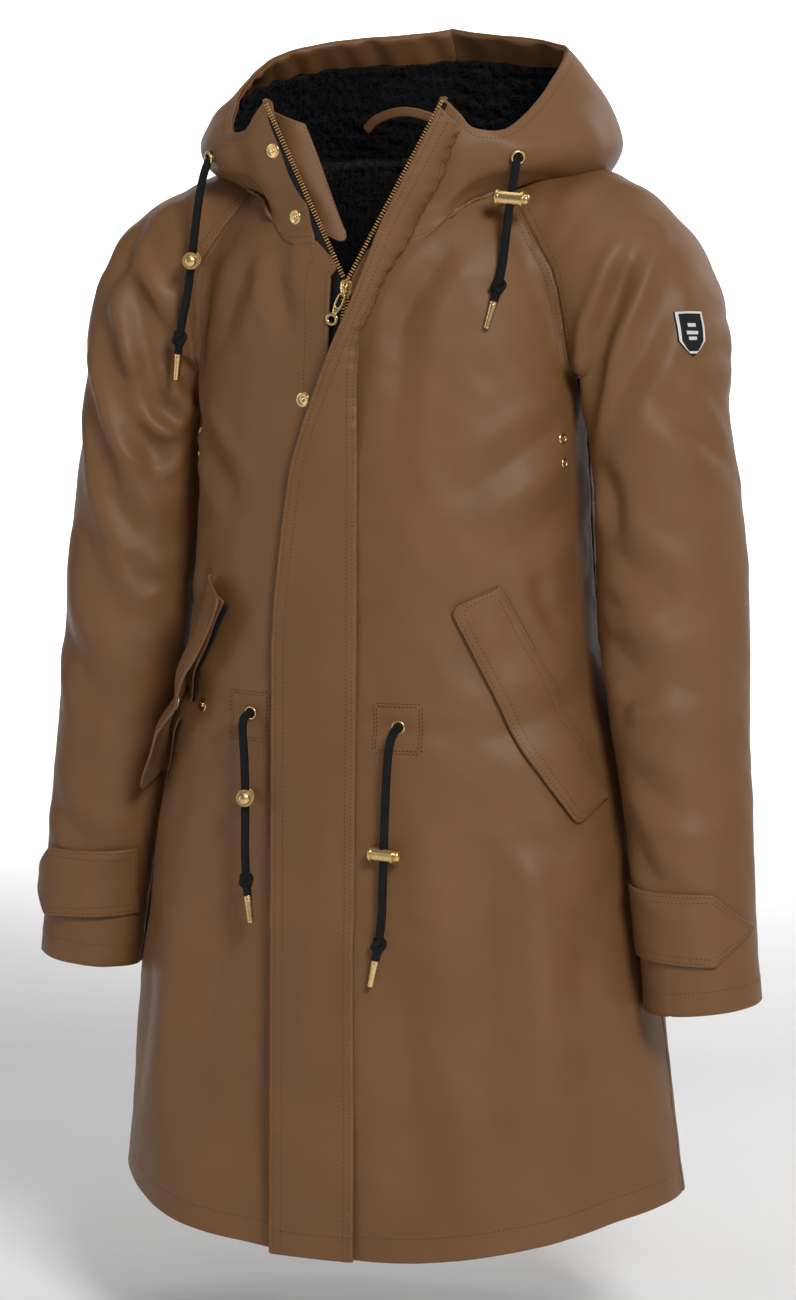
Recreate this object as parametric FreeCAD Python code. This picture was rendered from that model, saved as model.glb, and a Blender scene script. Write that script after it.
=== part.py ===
"""Hooded drawcord parka on an invisible wearer, one STEP file per sub-part, in millimetres.

Origin: centre of the neck opening at nape level. +Z is up, -Y is the wearer's front and
+X the wearer's left. Shells are closed solids cut from lofts of the body, arm and hood
outlines, so that flaps, cords and fasteners keep a stated gap from them.
"""

import FreeCAD, Part
import math
import os

V = FreeCAD.Vector

# ---- driving dimensions -------------------------------------------------------------
FABRIC = 2.6                 # coated face fabric with its backing
LINING_OUT = 3.0             # depth of the lining's outer face under the fabric's outer face
LINING_IN = 6.0
FLAP_GAP = 3.0               # space for the snap fasteners under a flap
FLAP_THICK = 2.2
ROUNDNESS = 2.3              # exponent of the superellipse outlines

# body outlines: height, half width, front depth, back depth, centre y
BODY = [
    (-960.0, 254.0, 152.0, 152.0, 0.0),
    (-700.0, 223.0, 139.3, 133.0, 0.0),
    (-490.0, 191.0, 129.1, 113.0, 0.0),
    (-400.0, 174.0, 124.7, 104.0, 0.0),
    (-240.0, 168.0, 117.0, 108.0, 0.0),
    (-120.0, 160.0, 111.0, 97.0, 0.0),
    (-50.0, 118.0, 90.0, 82.0, 4.0),
    (-30.0, 104.0, 84.0, 76.0, 6.0),
]
BODY_TOP = -52.0
HEM_FRONT = -914.0           # hem height at centre front
HEM_SIDE = -868.0            # and at the side seams
SIDE_SEAM_Y = 10.0

# hood outlines, in the same form
HOOD = [
    (-62.0, 108.0, 74.0, 82.0, 6.0),
    (-40.0, 142.0, 84.0, 110.0, 6.0),
    (-12.0, 172.0, 95.0, 150.0, 6.0),
    (18.0, 168.0, 100.0, 158.0, 6.0),
    (50.0, 148.0, 100.0, 144.0, 6.0),
    (95.0, 126.0, 98.0, 122.0, 6.0),
]
HOOD_BOTTOM = -51.0
HOOD_RIM = [(-140.0, 22.0), (-104.0, 19.0), (-84.0, -4.0), (-60.0, 0.0), (-10.0, 32.0),
            (60.0, 67.0), (120.0, 86.0), (230.0, 92.0)]    # y, z of the rim seen from the side
FACING_DEPTH = 28.0
HOOD_PIVOT = (90.5, -50.0)   # y, z of the nape seam, which the crown tilts about
HOOD_SPLIT_TILT = math.radians(53.0)

# arm rings: centre x, y, z, half width, half depth
ARM = [
    (85.0, 10.0, -92.0, 58.0, 60.0),
    (145.0, 10.0, -98.0, 66.0, 68.0),
    (190.0, 10.0, -126.0, 72.0, 74.0),
    (215.0, 6.0, -175.0, 66.0, 72.0),
    (226.0, 2.0, -235.0, 58.0, 68.0),
    (234.0, 0.0, -300.0, 60.0, 64.0),
    (243.0, -5.0, -400.0, 61.0, 62.0),
    (251.0, -9.0, -480.0, 56.0, 60.0),
    (261.0, -13.0, -560.0, 51.0, 56.0),
    (277.0, -20.0, -706.0, 46.0, 50.0),
]
SLEEVE_PIVOT = V(292.0, 0.0, -213.0)     # outer end of the line that the sleeve swings about
UNDERARM = V(165.0, 0.0, -272.0)
CUFF_BOTTOM = -706.0
ARMHOLE_BOTTOM = -236.0

# zip
ZIP_TOP = V(0.0, -111.3, -121.0)         # where the two rows part
ZIP_END = V(-16.0, -150.0, -914.0)
ZIP_PEAK = V(75.0, -97.0, 19.0)          # top of the left row; the right row mirrors it
CHAIN_DEPTH = 4.5                        # middle of the teeth, under the fabric's outer face
CHAIN_GAP = 1.4
CHAIN_WIDE = 2.2
TAPE_WIDE = 11.0
UPPER_TAPE_WIDE = 4.2                    # above the slider, where the fronts fold back beside it
TAPE_THICK = 0.8
TOOTH_DEPTH = 2.2
CHANNEL = 9.0                            # half the gap between the two fronts
BOTTOM_STOP = 14.0                       # where the rows end, above the lower end of the zip
SLIDER_DOWN = 1.4                        # from where the rows part to the slider's top
SLIDER_LONG = 13.0
SLIDER_WIDE = 10.0
PIN_DOWN = 6.0                           # from the slider's top to the pin of its pull
PIN_R = 0.7
PULL_LEAN = math.radians(24.0)
PULL_LONG = 20.0
PULL_WIDE = 5.6
PULL_THICK = 1.4
RING_R = 5.2
RING_HOLE = 2.9
GUARD = [((-30.0, -93.0, -84.0), (-4.0, -95.0, -96.0)), ((-78.0, -79.0, 12.0), (-50.0, -81.0, 2.0))]
GUARD_THICK = 1.6

# storm flap: x of its seam and of its free edge against height, below the peeled part
FLAP_TOP = -240.0
FLAP_BOTTOM = -916.0
SEAM_X = (12.5, 21.0)
FREE_EDGE = [(-41.0, -240.0), (-53.0, -316.0), (-58.0, -400.0), (-57.5, -470.0), (-51.0, -916.0)]
PEELED = [                               # seam point and free-edge point of the peeled part
    ((13.0, -122.0, -238.5), (-39.5, -121.0, -238.5)),
    ((16.0, -121.5, -178.0), (-11.0, -132.0, -178.0)),
    ((27.0, -119.0, -138.0), (4.0, -133.0, -146.0)),
    ((62.0, -104.0, -75.0), (36.0, -130.0, -84.0)),
    ((90.0, -99.0, -8.0), (82.0, -118.0, 13.0)),
]

# snap fasteners of the front: x, z on the wearer's right
SNAPS = [(-71.0, -20.0), (-46.0, -70.0), (-39.0, -218.0), (-44.0, -330.0), (-46.0, -450.0),
         (-44.0, -570.0), (-43.0, -690.0), (-41.0, -810.0)]
SNAP_R = 6.3
POST_R = 1.9

# pocket flap on the left side: ends of its sewn edge and its outline along and across it
POCKET_TOP = V(125.0, -93.0, -364.0)
POCKET_BOTTOM = V(194.0, -33.0, -536.0)
POCKET_OUT = V(0.71, -0.69, 0.13)
POCKET_OUTLINE = [(0.0, 1.2), (195.0, 1.2), (198.0, 42.0), (125.0, 51.0), (14.0, 41.0)]
POCKET_MOUTH = (18.0, 178.0, 8.0)        # start and end along the seam, width across it
POCKET_SEAM_DOWN = 3.0                   # from the flap's sewn edge to the mouth
POCKET_BAG = [(8.0, -12.0), (188.0, -12.0), (188.0, 52.0), (150.0, 78.0), (60.0, 78.0), (8.0, 52.0)]
POCKET_SNAP = (141.2, -472.5)            # x, z
BAG_OUT = 3.4
BAG_IN = 13.0
BAG_WALL = 1.2

# cuff tab on the left sleeve, in x and z, seen from the front
TAB_OUTLINE = [(225.0, -607.0), (292.0, -613.0), (318.0, -638.0), (297.0, -664.0), (230.0, -660.0)]
TAB_STUD = (297.0, -638.0)

# drawcords: diameter and the points of each route, from inside its eyelet to its metal tip
CORD_D = 7.0
EYELET_R = 5.8
EYELET_HOLE = 3.9
STOP_HOLE = 4.1
TIP_LONG = 23.0
CORDS = {
    "hood_cord_left": [(125.6, -62.4, -15.4), (130.2, -70.4, -23.0), (131.4, -76.6, -34.0),
                       (129.2, -81.6, -54.0), (126.2, -86.5, -92.0), (124.6, -89.8, -117.0),
                       (119.6, -94.0, -139.0)],
    "hood_cord_right": [(-133.9, -58.4, -15.4), (-138.6, -66.2, -23.0), (-142.0, -71.6, -34.0),
                        (-146.4, -74.5, -58.0), (-151.6, -76.0, -104.0), (-156.8, -75.6, -140.0),
                        (-164.6, -73.0, -165.0), (-167.0, -72.0, -185.0)],
    "waist_cord_left": [(50.9, -122.6, -477.8), (51.6, -134.2, -478.6), (49.8, -140.8, -488.0),
                        (47.6, -141.6, -508.0), (46.2, -142.4, -546.0), (44.9, -144.2, -606.0),
                        (44.6, -145.6, -640.0), (39.6, -146.6, -665.0)],
    "waist_cord_right": [(-82.4, -116.6, -474.2), (-83.4, -128.4, -475.2), (-82.0, -135.2, -485.0),
                         (-79.4, -136.2, -506.0), (-77.8, -138.4, -548.0), (-77.6, -141.0, -598.0),
                         (-74.2, -142.6, -621.0)],
}
# where each stop sits: run of the route, share along it and barrel direction
STOPS = {
    "hood_cord_left": (3, 0.10, (1.0, 0.10, 0.0)),
    "hood_cord_right": (4, 0.10, (0.37, -0.93, 0.0)),
    "waist_cord_left": (4, 0.55, (0.86, -0.10, 0.50)),
    "waist_cord_right": (3, 0.82, (0.37, -0.93, 0.0)),
}
BARREL_R = 6.0
BARREL_LONG = 22.0
BORE_R = 4.95
PLUNGER_R = 4.85
PLUNGER_OUT = 2.6
PRESS = 2.0
KNOT_R = 6.8

VENTS = [(160.5, -44.0, -248.0), (160.5, -46.0, -268.5)]
VENT_OUT = V(0.93, -0.37, 0.0)

# hanger loop at the nape, and the shield badge on the left sleeve
LOOP = [(-58.0, 70.0, 0.0), (-46.0, 66.0, 9.0), (-20.0, 62.0, 15.0), (6.0, 66.0, 9.0), (20.0, 70.0, 0.0)]
LOOP_WIDE = 7.0
BADGE_AT = V(263.0, -39.0, -164.0)
BADGE_OUT = V(0.75, -0.62, 0.22)
SHIELD = [(-12.5, 17.0), (12.5, 17.0), (12.5, -9.0), (0.0, -18.0), (-12.5, -9.0)]

FAR = 600.0                              # beyond the coat in any direction

PARTS = {}


# ---- outline helpers ----------------------------------------------------------------
def outline_at(table, z):
    """Half width, front depth, back depth and centre y at a height, straight between rows."""
    rows = sorted(table)
    i = 0
    while i < len(rows) - 2 and z > rows[i + 1][0]:
        i += 1
    low, high = rows[i], rows[i + 1]
    share = (z - low[0]) / (high[0] - low[0])
    return [low[k] + share * (high[k] - low[k]) for k in range(1, 5)]


def closed_wire(points):
    curve = Part.BSplineCurve()
    curve.interpolate(points, PeriodicFlag=True)
    return Part.Wire([curve.toShape()])


def superellipse_wire(table, z, grow, count=24):
    half, front, back, centre = outline_at(table, z)
    points = []
    for i in range(count):
        angle = 2 * math.pi * i / count
        c, s = math.cos(angle), math.sin(angle)
        depth = (front if s < 0 else back) + grow
        x = (half + grow) * math.copysign(abs(c) ** (2 / ROUNDNESS), c)
        y = centre + depth * math.copysign(abs(s) ** (2 / ROUNDNESS), s)
        points.append(V(x, y, z))
    return closed_wire(points)


def body_solid(grow):
    wires = [superellipse_wire(BODY, row[0], grow) for row in BODY]
    return Part.makeLoft(wires, True, True)


def hood_solid(grow):
    wires = [superellipse_wire(HOOD, row[0], grow) for row in HOOD]
    return Part.makeLoft(wires, True, True)


def arm_solid(grow):
    """The left arm from inside the shoulder to just past the cuff."""
    rings = [V(*row[:3]) for row in ARM]
    wires = []
    for i, row in enumerate(ARM):
        along = rings[min(i + 1, len(rings) - 1)] - rings[max(i - 1, 0)]
        along.normalize()
        side = V(0, 1, 0).cross(along) * -1
        side.normalize()
        deep = along.cross(side)
        points = []
        for k in range(16):
            angle = 2 * math.pi * k / 16
            offset = side * ((row[3] + grow) * math.cos(angle))
            points.append(rings[i] + offset + deep * ((row[4] + grow) * math.sin(angle)))
        wires.append(closed_wire(points))
    return Part.makeLoft(wires, True, True)


def surface_y(table, x, z, grow=0.0):
    """y of the front of an outline at x and z."""
    half, front, _, centre = outline_at(table, z)
    share = min(abs(x) / (half + grow), 1.0)
    return centre - (front + grow) * (1 - share ** ROUNDNESS) ** (1 / ROUNDNESS)


def arm_front(x, z):
    """Point and outward normal of the front of the left forearm at x and z."""
    rows = sorted([row[2], row[0], row[1], row[3], row[4]] for row in ARM[5:])
    i = 0
    while i < len(rows) - 2 and z > rows[i + 1][0]:
        i += 1
    share = (z - rows[i][0]) / (rows[i + 1][0] - rows[i][0])
    cx, cy, wide, deep = [a + share * (b - a) for a, b in zip(rows[i][1:], rows[i + 1][1:])]
    across = (x - cx) / wide
    point = V(x, cy - deep * math.sqrt(1 - across ** 2), z)
    normal = V(across / wide, (point.y - cy) / deep ** 2, 0)
    normal.normalize()
    return point, normal


def surface_normal(table, x, z):
    """Outward normal of the front of an outline at x and z."""
    step = 0.5
    slope_x = (surface_y(table, x + step, z) - surface_y(table, x - step, z)) / (2 * step)
    slope_z = (surface_y(table, x, z + step) - surface_y(table, x, z - step)) / (2 * step)
    normal = V(slope_x, -1.0, slope_z)
    normal.normalize()
    return normal


# ---- solid helpers ------------------------------------------------------------------
def prism(points, along):
    wire = Part.makePolygon(points + [points[0]])
    return Part.Face(wire).extrude(along)


def front_prism(outline, y0=-FAR, y1=0.0):
    """A prism along Y whose outline is in x and z."""
    return prism([V(x, y0, z) for x, z in outline], V(0, y1 - y0, 0))


def side_prism(outline):
    """A prism along X whose outline is in y and z."""
    return prism([V(-FAR, y, z) for y, z in outline], V(2 * FAR, 0, 0))


def block(x0, x1, y0, y1, z0, z1):
    return Part.makeBox(x1 - x0, y1 - y0, z1 - z0, V(x0, y0, z0))


def half_space(point, normal):
    """A big box on the normal's side of a plane."""
    box = Part.makeBox(2 * FAR, 2 * FAR, 2 * FAR, V(-FAR, -FAR, 0))
    turn = FreeCAD.Rotation(V(0, 0, 1), normal)
    box.Placement = FreeCAD.Placement(point, turn)
    return box


def mirrored(shape):
    return shape.mirror(V(0, 0, 0), V(1, 0, 0))


def frame_box(centre, x_dir, y_dir, sizes):
    """A box about centre, with sizes along x_dir, y_dir and their cross product."""
    x_dir = V(x_dir)
    x_dir.normalize()
    z_dir = x_dir.cross(y_dir)
    z_dir.normalize()
    y_dir = z_dir.cross(x_dir)
    box = Part.makeBox(*sizes, V(-sizes[0] / 2, -sizes[1] / 2, -sizes[2] / 2))
    matrix = FreeCAD.Matrix(x_dir.x, y_dir.x, z_dir.x, centre.x,
                            x_dir.y, y_dir.y, z_dir.y, centre.y,
                            x_dir.z, y_dir.z, z_dir.z, centre.z, 0, 0, 0, 1)
    box.Placement = FreeCAD.Placement(matrix)
    return box


def ribbon(pairs, thick):
    """A strip of even thickness through pairs of edge points."""
    pairs = [(V(*a), V(*b)) for a, b in pairs]
    wires = []
    for i, (a, b) in enumerate(pairs):
        before = pairs[max(i - 1, 0)]
        after = pairs[min(i + 1, len(pairs) - 1)]
        along = (after[0] + after[1]) - (before[0] + before[1])
        normal = along.cross(b - a)
        normal.normalize()
        half = normal * (thick / 2)
        wires.append(Part.makePolygon([a - half, b - half, b + half, a + half, a - half]))
    return Part.makeLoft(wires, True, True)


def rod(start, end, radius):
    along = end - start
    return Part.makeCylinder(radius, along.Length, start, along)


def disc(centre, normal, radius, low, high, hole=0.0):
    """A disc or ring between two heights over a surface point."""
    body = rod(centre + normal * low, centre + normal * high, radius)
    if hole:
        body = body.cut(rod(centre + normal * (low - 1), centre + normal * (high + 1), hole))
    return body


def solids_of(shape, smallest=2.0):
    return [s for s in shape.Solids if s.Volume > smallest]


def keep(node, *shapes, smallest=2.0):
    """Stores the solids of a node."""
    found = []
    for shape in shapes:
        found += solids_of(shape, smallest)
    PARTS[node] = found


def common_all(shape, *others):
    for other in others:
        shape = shape.common(other)
    return shape


def cut_all(shape, *others):
    for other in others:
        shape = shape.cut(other)
    return shape


# ---- shared tools -------------------------------------------------------------------
zip_along = ZIP_END - ZIP_TOP
zip_along.normalize()
zip_front = V(0, -1, 0) - zip_along * V(0, -1, 0).dot(zip_along)
zip_front.normalize()
zip_left = zip_along.cross(zip_front)
if zip_left.x < 0:
    zip_left = zip_left * -1
zip_length = (ZIP_END - ZIP_TOP).Length


def hem_cutter():
    """Everything below a hem that rises towards the side seams."""
    arc = Part.Arc(V(-262, -FAR, HEM_SIDE), V(0, -FAR, HEM_FRONT), V(262, -FAR, HEM_SIDE)).toShape()
    low = -1200.0
    sides = [Part.makeLine(V(262, -FAR, HEM_SIDE), V(262, -FAR, low)),
             Part.makeLine(V(262, -FAR, low), V(-262, -FAR, low)),
             Part.makeLine(V(-262, -FAR, low), V(-262, -FAR, HEM_SIDE))]
    return Part.Face(Part.Wire([arc] + sides)).extrude(V(0, 2 * FAR, 0))


def opening_cutter(half_gap):
    """The straight slot along the zip and the V above it, cut through the front only."""
    top_x = ZIP_PEAK.x + half_gap
    outline = [(ZIP_END.x - half_gap, -1000.0), (ZIP_END.x + half_gap, -1000.0),
               (ZIP_TOP.x + half_gap, ZIP_TOP.z - 4.0), (top_x, ZIP_PEAK.z + 4.0),
               (top_x, 160.0), (-top_x, 160.0), (-top_x, ZIP_PEAK.z + 4.0),
               (ZIP_TOP.x - half_gap, ZIP_TOP.z - 4.0)]
    return front_prism(outline, -FAR, -20.0)


def rim_cutter(drop=0.0):
    """Everything above the hood's rim, or above a line that far under it."""
    outline = [(y, z - drop) for y, z in HOOD_RIM]
    return side_prism(outline + [(HOOD_RIM[-1][0], 400.0), (HOOD_RIM[0][0], 400.0)])


def rim_keeper(drop=0.0):
    """Everything below that line."""
    outline = [(y, z - drop) for y, z in HOOD_RIM]
    return side_prism(outline + [(HOOD_RIM[-1][0], -300.0), (HOOD_RIM[0][0], -300.0)])


split_side = (SLEEVE_PIVOT - UNDERARM)
split_side.normalize()
split_down = split_side.cross(V(0, 1, 0))
if split_down.z > 0:
    split_down = split_down * -1


def arm_below():
    return half_space(SLEEVE_PIVOT + split_down * 0.3, split_down)


def arm_above():
    return half_space(SLEEVE_PIVOT - split_down * 0.3, split_down * -1)


class Pocket:
    """Frame of the left pocket flap: along its seam, across it and out of the surface."""

    along = POCKET_BOTTOM - POCKET_TOP
    length = along.Length
    along.normalize()
    out = POCKET_OUT - along * POCKET_OUT.dot(along)
    out.normalize()
    across = out.cross(along)
    if across.z > 0:
        across = across * -1

    @classmethod
    def point(cls, u, v, w=0.0):
        return POCKET_TOP + cls.along * u + cls.across * v + cls.out * w

    @classmethod
    def prism(cls, outline, low=-60.0, high=60.0):
        return prism([cls.point(u, v, low) for u, v in outline], cls.out * (high - low))


# ---- body, sleeves and hood ----------------------------------------------------------
def make_shells():
    body_out = body_solid(0)
    body_back = body_solid(-FABRIC)
    arms_out = arm_solid(0)
    hood_clear = hood_solid(0.5)
    below_top = block(-FAR, FAR, -FAR, FAR, -1200, BODY_TOP)
    armhole = arms_out.common(block(0, FAR, -FAR, FAR, ARMHOLE_BOTTOM, FAR))
    armhole_clear = arm_solid(0.4).common(block(0, FAR, -FAR, FAR, ARMHOLE_BOTTOM, FAR))
    wall = cut_all(body_out.cut(body_back), hem_cutter(), armhole_clear, mirrored(armhole_clear))
    wall = wall.common(below_top)

    mouth = pocket_mouth()
    front = wall.cut(opening_cutter(CHANNEL)).common(block(-FAR, FAR, -FAR, SIDE_SEAM_Y - 0.1, -1200, 0))
    front = cut_all(front, mouth, mirrored(mouth), *cord_holes(EYELET_R - 1.0), *vent_holes())
    keep("right_front_panel", *[s for s in front.Solids if s.CenterOfMass.x < 0])
    keep("left_front_panel", *[s for s in front.Solids if s.CenterOfMass.x > 0])
    keep("back_panel", wall.common(block(-FAR, FAR, SIDE_SEAM_Y + 0.1, FAR, -1200, 0)))

    arm_wall = arms_out.cut(arm_solid(-FABRIC))
    arm_inner = arm_solid(-LINING_OUT).cut(arm_solid(-LINING_IN + 0.4))
    body_clear = body_solid(0.4)
    cap = cut_all(arm_wall.common(arm_above()), body_clear, hood_clear)
    keep("shoulder_left", cap, smallest=200.0)
    keep("shoulder_right", mirrored(cap), smallest=200.0)
    above_cuff = block(0, FAR, -FAR, FAR, CUFF_BOTTOM + 10, FAR)
    sleeve = arm_wall.common(arm_below()).cut(body_solid(1.2))
    sleeve_lining = cut_all(arm_inner.common(arm_below()), body_solid(1.2)).common(above_cuff)
    keep("sleeve_left", sleeve, smallest=200.0)
    keep("sleeve_right", mirrored(sleeve), smallest=200.0)
    keep("sleeve_lining_left", sleeve_lining, smallest=200.0)
    keep("sleeve_lining_right", mirrored(sleeve_lining), smallest=200.0)

    bag = Pocket.prism(POCKET_BAG).common(body_solid(-LINING_OUT + 0.3)).cut(body_solid(-BAG_IN - 0.4))
    lining = body_solid(-LINING_OUT).cut(body_solid(-LINING_IN))
    lining = cut_all(lining, opening_cutter(CHANNEL + 8.0), armhole, mirrored(armhole), bag)
    lining = cut_all(lining, mirrored(bag), *vent_holes(), *cord_holes(EYELET_R + 0.6))
    lining = lining.common(block(-FAR, FAR, -FAR, FAR, HEM_SIDE + 14.0, BODY_TOP))
    cap_lining = cut_all(arm_inner.common(arm_above()), body_clear, hood_clear)
    keep("body_lining", lining, cap_lining, mirrored(cap_lining), smallest=200.0)

    make_hood()


def make_hood():
    above = block(-FAR, FAR, -FAR, FAR, HOOD_BOTTOM, FAR)
    wall = hood_solid(0).cut(hood_solid(-FABRIC)).common(above)
    wall = cut_all(wall, rim_cutter(), opening_cutter(CHANNEL), *cord_holes(EYELET_R - 1.0))
    facing = hood_solid(-FABRIC - 0.3).cut(hood_solid(-FABRIC - 1.8)).common(above)
    facing = cut_all(facing, rim_cutter(), rim_keeper(FACING_DEPTH), opening_cutter(CHANNEL))
    lining = hood_solid(-FABRIC - 2.1).cut(hood_solid(-FABRIC - 6.0)).common(above)
    lining = cut_all(lining, rim_cutter(FACING_DEPTH + 0.4), opening_cutter(CHANNEL))
    plane_point = V(0, *HOOD_PIVOT)
    plane_normal = V(0, math.sin(HOOD_SPLIT_TILT), math.cos(HOOD_SPLIT_TILT))
    crown_side = half_space(plane_point + plane_normal * 0.3, plane_normal)
    front_side = half_space(plane_point - plane_normal * 0.3, plane_normal * -1)
    low_gap = half_space(V(0, HOOD_PIVOT[0], HOOD_BOTTOM + 1.6), V(0, 0, 1))
    keep("hood_sides", wall.common(front_side), smallest=200.0)
    keep("hood_crown", common_all(wall, crown_side, low_gap), smallest=200.0)
    keep("hood_facing_front", facing.common(front_side), smallest=50.0)
    keep("hood_facing_back", facing.common(crown_side), smallest=50.0)
    keep("hood_lining_front", lining.common(front_side), smallest=200.0)
    keep("hood_lining_back", common_all(lining, crown_side, low_gap), smallest=200.0)


# ---- flaps, tabs and pockets -----------------------------------------------------------
def flap_layer(solid):
    return solid(FLAP_GAP + FLAP_THICK).cut(solid(FLAP_GAP))


def make_storm_flap():
    outline = [(SEAM_X[0] - 0.8, FLAP_TOP)] + FREE_EDGE + [(SEAM_X[1] - 0.8, FLAP_BOTTOM)]
    keep("storm_flap", flap_layer(body_solid).common(front_prism(outline, -FAR, -20)))
    keep("storm_flap_top", ribbon(PEELED, FLAP_THICK))
    sockets = []
    studs = []
    for x, z in SNAPS:
        table = HOOD if z > BODY_TOP else BODY
        centre = V(x, surface_y(table, x, z), z)
        normal = surface_normal(table, x, z)
        studs += [disc(centre, normal, SNAP_R, 0.15, 0.8), disc(centre, normal, POST_R, 0.8, 1.8)]
        if z < FLAP_TOP:
            sockets.append(disc(centre, normal, SNAP_R, 1.95, 2.8, POST_R + 0.3))
    pairs = [studs[i].fuse(studs[i + 1]) for i in range(0, len(studs), 2)]
    keep("front_snap_studs", *pairs)
    keep("storm_flap_sockets", *sockets)


def pocket_mouth():
    start, end, wide = POCKET_MOUTH
    low = POCKET_SEAM_DOWN
    return Pocket.prism([(start, low), (end, low), (end, low + wide), (start, low + wide)])


def make_pockets():
    flap = flap_layer(body_solid).common(Pocket.prism(POCKET_OUTLINE))
    keep("pocket_flap_left", flap, smallest=200.0)
    keep("pocket_flap_right", mirrored(flap), smallest=200.0)
    inset = [(u + (3 if u < 100 else -3), v + (3 if v < 0 else -3)) for u, v in POCKET_BAG]
    shell = body_solid(-BAG_OUT).cut(body_solid(-BAG_IN)).common(Pocket.prism(POCKET_BAG))
    hollow = body_solid(-BAG_OUT - BAG_WALL).cut(body_solid(-BAG_IN + BAG_WALL))
    hollow = hollow.common(Pocket.prism(inset))
    entry = pocket_mouth().cut(body_solid(-BAG_OUT - BAG_WALL - 0.5))
    bag = cut_all(shell, hollow, entry)
    keep("pocket_bag_left", bag, smallest=200.0)
    keep("pocket_bag_right", mirrored(bag), smallest=200.0)
    x, z = POCKET_SNAP
    surface = V(x, surface_y(BODY, x, z), z)
    normal = surface_normal(BODY, x, z)
    stud = disc(surface, normal, SNAP_R, 0.3, 0.9).fuse(disc(surface, normal, POST_R, 0.9, 1.7))
    socket = disc(surface, normal, SNAP_R, 1.85, 2.55, POST_R + 0.3)
    keep("pocket_snap_studs", stud, mirrored(stud))
    keep("pocket_flap_socket_left", socket)
    keep("pocket_flap_socket_right", mirrored(socket))


def make_cuff_tabs():
    tab = flap_layer(arm_solid).common(front_prism(TAB_OUTLINE, -FAR, -22.0))
    keep("cuff_tab_left", tab, smallest=200.0)
    keep("cuff_tab_right", mirrored(tab), smallest=200.0)
    surface, normal = arm_front(*TAB_STUD)
    stud = disc(surface, normal, 5.0, 0.45, 1.0).fuse(disc(surface, normal, POST_R, 1.0, 1.8))
    socket = disc(surface, normal, 5.0, 1.95, 2.5, POST_R + 0.3)
    keep("cuff_stud_left", stud)
    keep("cuff_stud_right", mirrored(stud))
    keep("cuff_tab_socket_left", socket)
    keep("cuff_tab_socket_right", mirrored(socket))


# ---- zip -----------------------------------------------------------------------------
def zip_point(distance, side, depth):
    """A point along the closed zip: down it, towards the wearer's left, and under the surface."""
    return ZIP_TOP + zip_along * distance + zip_left * side - zip_front * depth


def zip_bar(start, end, side0, side1, depth0, depth1):
    centre = zip_point((start + end) / 2, (side0 + side1) / 2, (depth0 + depth1) / 2)
    sizes = (abs(side1 - side0), end - start, abs(depth1 - depth0))
    return frame_box(centre, zip_left, zip_along, sizes)


def make_zip():
    """Tapes, rows of teeth, end stops, slider and the guard behind the top of the far row."""
    row_end = zip_length - BOTTOM_STOP
    inner = CHAIN_GAP / 2
    outer = inner + CHAIN_WIDE
    edge = outer + 0.1
    far_edge = edge + UPPER_TAPE_WIDE
    peak = V(ZIP_PEAK.x, ZIP_PEAK.y + CHAIN_DEPTH, ZIP_PEAK.z)
    start = V(0, ZIP_TOP.y + CHAIN_DEPTH, ZIP_TOP.z)
    up = peak - start
    up.normalize()
    across = V(up.z, 0, -up.x)
    upper_chain = ribbon([(start + across * inner + up * 1.2, start + across * outer + up * 2.4),
                          (peak + across * inner, peak + across * outer)], TOOTH_DEPTH)
    upper_tape = ribbon([(start + across * edge + up * 3.0, start + across * far_edge + up * 6.4),
                         (peak + across * edge, peak + across * far_edge)], TAPE_THICK)
    stop = frame_box(peak + across * (inner + 1.2) + up * 2.2, across, up, (3.0, 3.2, 3.4))
    chain_faces = (CHAIN_DEPTH - TOOTH_DEPTH / 2, CHAIN_DEPTH + TOOTH_DEPTH / 2)
    tape_faces = (CHAIN_DEPTH - TAPE_THICK / 2, CHAIN_DEPTH + TAPE_THICK / 2)
    for name, side in (("left", 1), ("right", -1)):
        place = mirrored if side < 0 else Part.Shape
        chain = zip_bar(0.2, row_end, side * inner, side * outer, *chain_faces)
        tape = zip_bar(0.2, row_end, side * edge, side * (edge + TAPE_WIDE), *tape_faces)
        keep("zip_chain_" + name, chain, place(upper_chain))
        keep("zip_tape_" + name, tape, place(upper_tape))
    keep("zip_end_stops", stop, mirrored(stop), zip_bar(row_end + 0.4, zip_length - 3, -4.5, 4.5, 2.2, 7.0))
    keep("zip_guard", ribbon(GUARD, GUARD_THICK))
    make_slider()


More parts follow.
